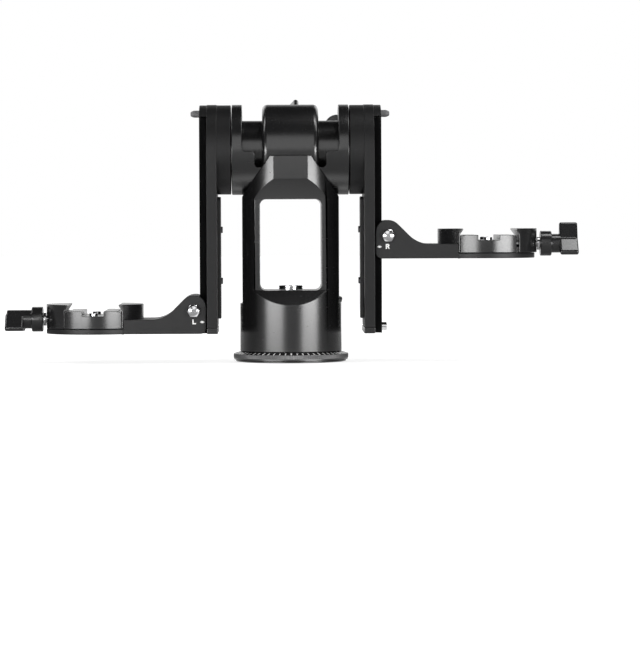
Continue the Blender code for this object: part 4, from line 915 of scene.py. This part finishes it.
def make_platform(side, word, low):
    """The sliding platform with its hex bolt, marks and rear knob."""
    body = "carriage_" + word
    outline = platform_outline(side, low)
    platform = slab("platform_dressed_" + word, outline, FRONT_VIEW, -BEAM_HALF, BEAM_HALF, 0.5 * MM)
    centre = Vector((side * CLAMP_X, 0, low))
    room_top = centre + UP * (KNUCKLE_H + OVERRUN)
    shape_with(platform, rod("clamp_room", CLAMP_R + GAP, centre + UP * SEAT_T, room_top, WIDE_STEPS))
    shape_with(platform, rod("seat_disc", CLAMP_R, centre, centre + UP * SEAT_T, WIDE_STEPS), "UNION")
    groove = slab("rail_room", rail_outline(side, GAP), TOP_VIEW, low - OVERRUN, low + KNUCKLE_H + OVERRUN, 0)
    shape_with(platform, groove)
    stop_half = STOP_HEAD_R + GAP
    stop_top = low + STOP_LIFT + STOP_HEAD_R + GAP
    stop_out = side * (RAIL_OUT + GAP + STOP_HEAD_H + GAP)
    shape_with(platform, box("stop_room", (side * RAIL_IN, -stop_half, low - OVERRUN), (stop_out, stop_half, stop_top)))
    wear(soften(platform, 0.35 * MM, 40), ARM, body, "platform_" + word, slot="black_arm")

    at = Vector((side * BOLT_X, 0, low + BOLT_Z))
    front = at - BACK * (BEAM_HALF + GAP)
    place = frame_along(front + BACK * 0.4 * MM, -BACK)
    head = slab("hex_head_" + word, hexagon_of(BOLT_HEAD_R), place, 0, BOLT_HEAD_H + 0.4 * MM, 0)
    dome = lathe("hex_dome", [(0, -MM), (BOLT_HEAD_R * 1.3, -MM), (BOLT_HEAD_R * 1.02, BOLT_HEAD_H * 0.72),
                              (BOLT_HEAD_R * 0.7, BOLT_HEAD_H, 1 * MM),
                              (BOLT_HEAD_R * 0.3, BOLT_HEAD_H + 0.4 * MM, 1 * MM), (0, BOLT_HEAD_H + 0.4 * MM)],
                 place, MID_STEPS)
    head = soften(shape_with(head, dome, "INTERSECT"), 0.12 * MM, 25)
    bolt = rod("bolt_" + word, BOLT_R, front - BACK * 0.5 * MM, at + BACK * (BEAM_HALF + BOLT_TAIL), FINE_STEPS)
    wear(merge("platform_bolt_dressed_" + word, [head, bolt]), STEEL, body, "platform_bolt_" + word, slot="steel")
    seat = at + BACK * (BEAM_HALF + GAP)
    turn = LEFT_BACK_TURN if side < 0 else RIGHT_BACK_TURN
    turning = knob("platform_knob_dressed_" + word, seat, BACK, turn)
    wear(turning, GRIP, "carriage_knob_" + word, "platform_knob_" + word, slot="black_grip")

    face = -BEAM_HALF
    letters = {
        "left": [((-1, 1.5), (-1, -1.5)), ((-1, -1.5), (0.9, -1.5))],
        "right": [((-1, 1.5), (-1, -1.5)), ((-1, 1.5), (0.5, 1.5)), ((0.5, 1.5), (1, 0.8)), ((1, 0.8), (0.5, 0.1)),
                  ((0.5, 0.1), (-1, 0.1)), ((0, 0.1), (1.1, -1.5))],
    }
    lettering = Matrix.Translation((at.x + side * -0.4 * MM, face, at.z - 7.4 * MM)) @ FRONT_VIEW
    size = 0.85 * MM
    strokes = [((x0 * size, y0 * size), (x1 * size, y1 * size)) for (x0, y0), (x1, y1) in letters[word]]
    wear(stroke_mark("side_letter_" + word, strokes, 0.8 * MM, lettering), PAINT, body)
    mark = Matrix.Translation((side * (KNUCKLE_IN + 2.6 * MM), face, at.z - 7.6 * MM)) @ FRONT_VIEW
    rows = ((0.5 * MM, 0.45 * MM), (1.2 * MM, 0), (0.5 * MM, -0.45 * MM))
    strokes = [((-half, height), (half, height)) for half, height in rows]
    wear(stroke_mark("edge_mark_" + word, strokes, 0.55 * MM, mark), PAINT, body)


def make_jaw(name, direction, centre, holes, body, node):
    """A jaw cut from the round clamp."""
    outline = jaw_outline(direction, centre.x, centre.z)
    jaw = slab(name, outline, FRONT_VIEW, -CLAMP_R, CLAMP_R, 0)
    trim = rod(name + "_trim", CLAMP_R, centre, centre + UP * (CLAMP_TOP + JAW_RISE + OVERRUN), WIDE_STEPS)
    shape_with(jaw, trim, "INTERSECT")
    for across, height, radius in holes:
        start = centre + Vector((0, across, height))
        end = start + Vector((direction * (CLAMP_R + OVERRUN), 0, 0))
        shape_with(jaw, rod("jaw_hole", radius, start, end, FINE_STEPS))
    wear(soften(jaw, 0.35 * MM, 38), GRIP, body, node, slot="black_grip")


def clamp_holes():
    """Clearance holes along X in the clamp: (y, z above the platform's underside, radius)."""
    guide_hole = GUIDE_R + GAP
    return [(0, SCREW_Z, CLAMP_SCREW_R + GAP), (-GUIDE_Y, SCREW_Z, guide_hole), (GUIDE_Y, SCREW_Z, guide_hole)]


def make_clamp(side, word, low, opening, turn):
    """The clamp's body, jaws, screws and knob, with holes for its guide pins."""
    carriage = "carriage_" + word
    outward = Vector((side, 0, 0))
    centre = Vector((side * CLAMP_X, 0, low))
    body = rod("clamp_dressed_" + word, CLAMP_R, centre + UP * CLAMP_BASE, centre + UP * CLAMP_TOP, WIDE_STEPS)
    slab_size = Vector((CLAMP_BODY_HALF, CLAMP_R + OVERRUN, 0))
    shape_with(body, box("body_trim", centre - slab_size, centre + slab_size + UP * (CLAMP_TOP + OVERRUN)), "INTERSECT")
    floor = CLAMP_TOP - GROOVE_DEPTH
    far = CLAMP_R + OVERRUN
    wide = Vector((GROOVE_HALF, far, 0))
    shape_with(body, box("plate_groove", centre - wide + UP * floor, centre + wide + UP * (CLAMP_TOP + OVERRUN)))
    seat_half = CLAMP_BODY_HALF + GAP - JAW_LIP - RELIEF_SPARE
    for end in (-1, 1):
        relief = centre + Vector((end * seat_half, -far, CLAMP_TOP - RELIEF_DEPTH))
        shape_with(body, box("relief", relief, centre + Vector((end * far, far, CLAMP_TOP + OVERRUN))))
    for across, height, radius in clamp_holes():
        depth = CLAMP_SCREW_INNER + CLAMP_HOLE_SPARE if across == 0 else GUIDE_REACH - CLAMP_BODY_HALF
        at = centre + Vector((0, across, height))
        end = at + outward * (CLAMP_BODY_HALF + OVERRUN)
        shape_with(body, rod("body_hole", radius, at - outward * depth, end, FINE_STEPS))
    wear(soften(body, 0.35 * MM, 38), BODY, carriage, "clamp_body_" + word, slot="black_body")
    make_jaw("fixed_jaw_dressed_" + word, -side, centre, [], carriage, "fixed_jaw_" + word)

    for place, toward in (("front", -1), ("rear", 1)):
        start = centre + Vector((0, toward * MOUNT_SCREW_Y, floor))
        at = frame_along(start, UP)
        head = socket_head(f"mount_screw_dressed_{word}_{place}", MOUNT_SCREW_R, MOUNT_SCREW_H + GAP, at, 1.5 * MM)
        wear(head, STEEL, carriage, f"mount_screw_{word}_{place}", slot="steel")

    centre = centre + outward * opening
    make_jaw("moving_jaw_dressed_" + word, side, centre, clamp_holes(), "jaw_" + word, "moving_jaw_" + word)
    at = centre + UP * SCREW_Z
    collar_start = CLAMP_R + GAP
    collar_end = collar_start + WASHER_T
    knob_start = collar_end + GAP
    soft = 0.3 * MM
    screw = lathe(
        "clamp_screw_dressed_" + word,
        [(0, -CLAMP_SCREW_INNER), (CLAMP_SCREW_R, -CLAMP_SCREW_INNER, soft), (CLAMP_SCREW_R, collar_start),
         (WASHER_R, collar_start, soft), (WASHER_R, collar_end, soft), (CLAMP_SCREW_R, collar_end),
         (CLAMP_SCREW_R, knob_start + 2 * MM), (0, knob_start + 2 * MM)],
        frame_along(at, outward), MID_STEPS,
    )
    wear(screw, STEEL, "jaw_knob_" + word, "clamp_screw_" + word, slot="steel")
    turning = knob("clamp_knob_dressed_" + word, at + outward * knob_start, outward, turn)
    wear(turning, GRIP, "jaw_knob_" + word, "clamp_knob_" + word, slot="black_grip")


def refine_hidden():
    """Give the CAD nodes that stay a finish of their own."""
    for node in frame["nodes"].values():
        if node.hide_render:
            continue
        name = node["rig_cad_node"]
        look = BRASS if name == "pan_brake_pad" else STEEL
        node.data.materials.clear()
        node.data.materials.append(look)
        node.data.shade_smooth()
        node.data.set_sharp_from_angle(angle=radians(30))


make_base()
make_column()
make_level()
make_hub()
make_controls()
for side, word, low, opening, turn in (
    (-1, "left", LEFT_PLATFORM_Z, 0, LEFT_KNOB_TURN),
    (1, "right", RIGHT_PLATFORM_Z, JAW_TRAVEL_RIGHT, RIGHT_KNOB_TURN),
):
    make_arm(side, word)
    make_platform(side, word, low)
    make_clamp(side, word, low, opening, turn)
refine_hidden()


# Studio: pale floor, white surround, softboxes and the camera
def floor_white():
    """Floor that takes the shadow and glows to white for camera and transmission rays, and in parts for glossy ones."""
    material = bpy.data.materials.new("floor_white")
    material.use_nodes = True
    tree = material.node_tree
    shader = tree.nodes["Principled BSDF"]
    place = node_of(tree, "TexCoord").outputs["Object"]
    speckle = node_of(tree, "TexNoise", {"Vector": place}, Scale=40.0, Detail=4.0)
    tone = node_of(tree, "ValToRGB", {"Fac": speckle.outputs["Fac"]})
    tone.color_ramp.elements[0].color = (0.50, 0.50, 0.50, 1)
    tone.color_ramp.elements[1].color = (0.52, 0.52, 0.52, 1)
    tree.links.new(tone.outputs["Color"], shader.inputs["Base Color"])
    shader.inputs["Roughness"].default_value = 0.9
    shader.inputs["Specular IOR Level"].default_value = 0.2
    away = node_of(tree, "VectorMath", {0: place}, operation="LENGTH").outputs["Value"]
    depth = node_of(tree, "SeparateXYZ", {"Vector": place}).outputs["Y"]
    far = node_of(tree, "MapRange", {"Value": away}, From_Min=0.25, From_Max=0.7, To_Min=FLOOR_GLOW, To_Max=1.0)
    near = node_of(tree, "MapRange", {"Value": away}, From_Min=0.06, From_Max=0.1, To_Min=1.0, To_Max=0.0)
    back = node_of(tree, "MapRange", {"Value": depth}, From_Min=0.4, From_Max=1.0)
    path = node_of(tree, "LightPath").outputs
    mirrored = reckon(tree, "MAXIMUM", near.outputs["Result"], back.outputs["Result"])
    seen = reckon(tree, "MAXIMUM", path["Is Camera Ray"], path["Is Transmission Ray"])
    direct = reckon(tree, "MULTIPLY", seen, far.outputs["Result"])
    glossy = reckon(tree, "MULTIPLY", path["Is Glossy Ray"], mirrored)
    glow = reckon(tree, "ADD", direct, glossy)
    tree.links.new(glow, shader.inputs["Emission Strength"])
    shader.inputs["Emission Color"].default_value = (1, 1, 1, 1)
    return material


def way_to(azimuth, elevation):
    """Unit vector at an azimuth from the front and an elevation, both in degrees."""
    a, e = radians(azimuth), radians(elevation)
    return Vector((sin(a) * cos(e), -cos(a) * cos(e), sin(e)))


def make_studio():
    """The floor, the lights and the surround."""
    shape = bmesh.new()
    bmesh.ops.create_grid(shape, x_segments=1, y_segments=1, size=6)
    floor = put("studio_floor", shape, Matrix.Translation((0, 0, -0.0002)))
    floor.data.materials.append(floor_white())

    world = bpy.data.worlds.new("surround")
    bpy.context.scene.world = world
    world.use_nodes = True
    tree = world.node_tree
    tree.nodes.clear()
    way = node_of(tree, "TexCoord").outputs["Generated"]
    parts = node_of(tree, "SeparateXYZ", {"Vector": way}).outputs
    behind = node_of(tree, "MapRange", {"Value": parts["Y"]}, From_Min=0.8, From_Max=0.99, To_Min=SURROUND_DARK,
                     To_Max=1.0)
    path = node_of(tree, "LightPath").outputs
    fill = node_of(tree, "Background", Color=(1, 1, 1, 1), Strength=SURROUND_FILL)
    gloss = node_of(tree, "Background", {"Strength": behind.outputs["Result"]}, Color=(1, 1, 1, 1))
    white = node_of(tree, "Background", Color=(1, 1, 1, 1), Strength=1.0)
    first = node_of(tree, "MixShader", {
        0: path["Is Glossy Ray"], 1: fill.outputs["Background"], 2: gloss.outputs["Background"],
    })
    seen = reckon(tree, "MAXIMUM", path["Is Camera Ray"], path["Is Transmission Ray"])
    second = node_of(tree, "MixShader", {0: seen, 1: first.outputs["Shader"], 2: white.outputs["Background"]})
    node_of(tree, "OutputWorld", {"Surface": second.outputs["Shader"]})

    for name, azimuth, elevation, distance, width, height, power in LIGHTS:
        light = bpy.data.lights.new(name, "AREA")
        light.shape = "RECTANGLE"
        light.size, light.size_y = width, height
        light.energy = power
        lamp = bpy.data.objects.new(name, light)
        toward = way_to(azimuth, elevation)
        lamp.location = LIGHT_TARGET + toward * distance
        lamp.rotation_euler = toward.to_track_quat("Z", "Y").to_euler()
        lamp.visible_camera = False
        bpy.context.scene.collection.objects.link(lamp)


def make_camera():
    """The photograph's viewpoint."""
    camera = bpy.data.cameras.new("camera")
    camera.sensor_fit = "HORIZONTAL"
    camera.sensor_width = SENSOR_WIDTH
    camera.lens = SENSOR_WIDTH * CAMERA_DISTANCE / VIEW_WIDTH
    camera.clip_start, camera.clip_end = 0.05, 60
    holder = bpy.data.objects.new("camera", camera)
    toward = way_to(CAMERA_AZIMUTH, CAMERA_ELEVATION)
    rotation = toward.to_track_quat("Z", "Y").to_matrix().to_4x4()
    place = Matrix.Translation(CAMERA_TARGET + toward * CAMERA_DISTANCE)
    holder.matrix_world = place @ rotation @ Matrix.Rotation(radians(CAMERA_ROLL), 4, "Z")
    bpy.context.scene.collection.objects.link(holder)
    bpy.context.scene.camera = holder


SURROUND_DARK = 0.02
SURROUND_FILL = 0.15
FLOOR_GLOW = 0.80
LIGHT_TARGET = Vector((0, 0, 0.09))
LIGHTS = (
    ("softbox_left", -37, 0.6, 1.0, 0.70, 0.20, 5.4),
    ("softbox_right", 43, 0.4, 1.5, 1.00, 0.20, 12.0),
    ("softbox_front", 0, 19, 1.15, 0.5, 0.74, 1.6),
    ("strip_left", -88, 46, 1.2, 0.30, 0.60, 3.0),
    ("strip_right", 88, 46, 1.2, 0.30, 0.60, 3.0),
    ("softbox_top_right", 68, 68, 1.09, 0.26, 0.40, 2.2),
    ("softbox_back_left", -155, 25, 1.2, 0.6, 0.6, 1.4),
    ("softbox_back_right", 155, 25, 1.2, 0.6, 0.6, 1.4),
)
CAMERA_AZIMUTH = -0.85
CAMERA_ELEVATION = 2.1
CAMERA_ROLL = -0.24
CAMERA_DISTANCE = 2.2
CAMERA_TARGET = Vector((19.8 * MM, 0, 16.9 * MM))
SENSOR_WIDTH = 36.0
VIEW_WIDTH = 0.43642
make_studio()
make_camera()

bpy.context.scene.view_settings.view_transform = "Standard"
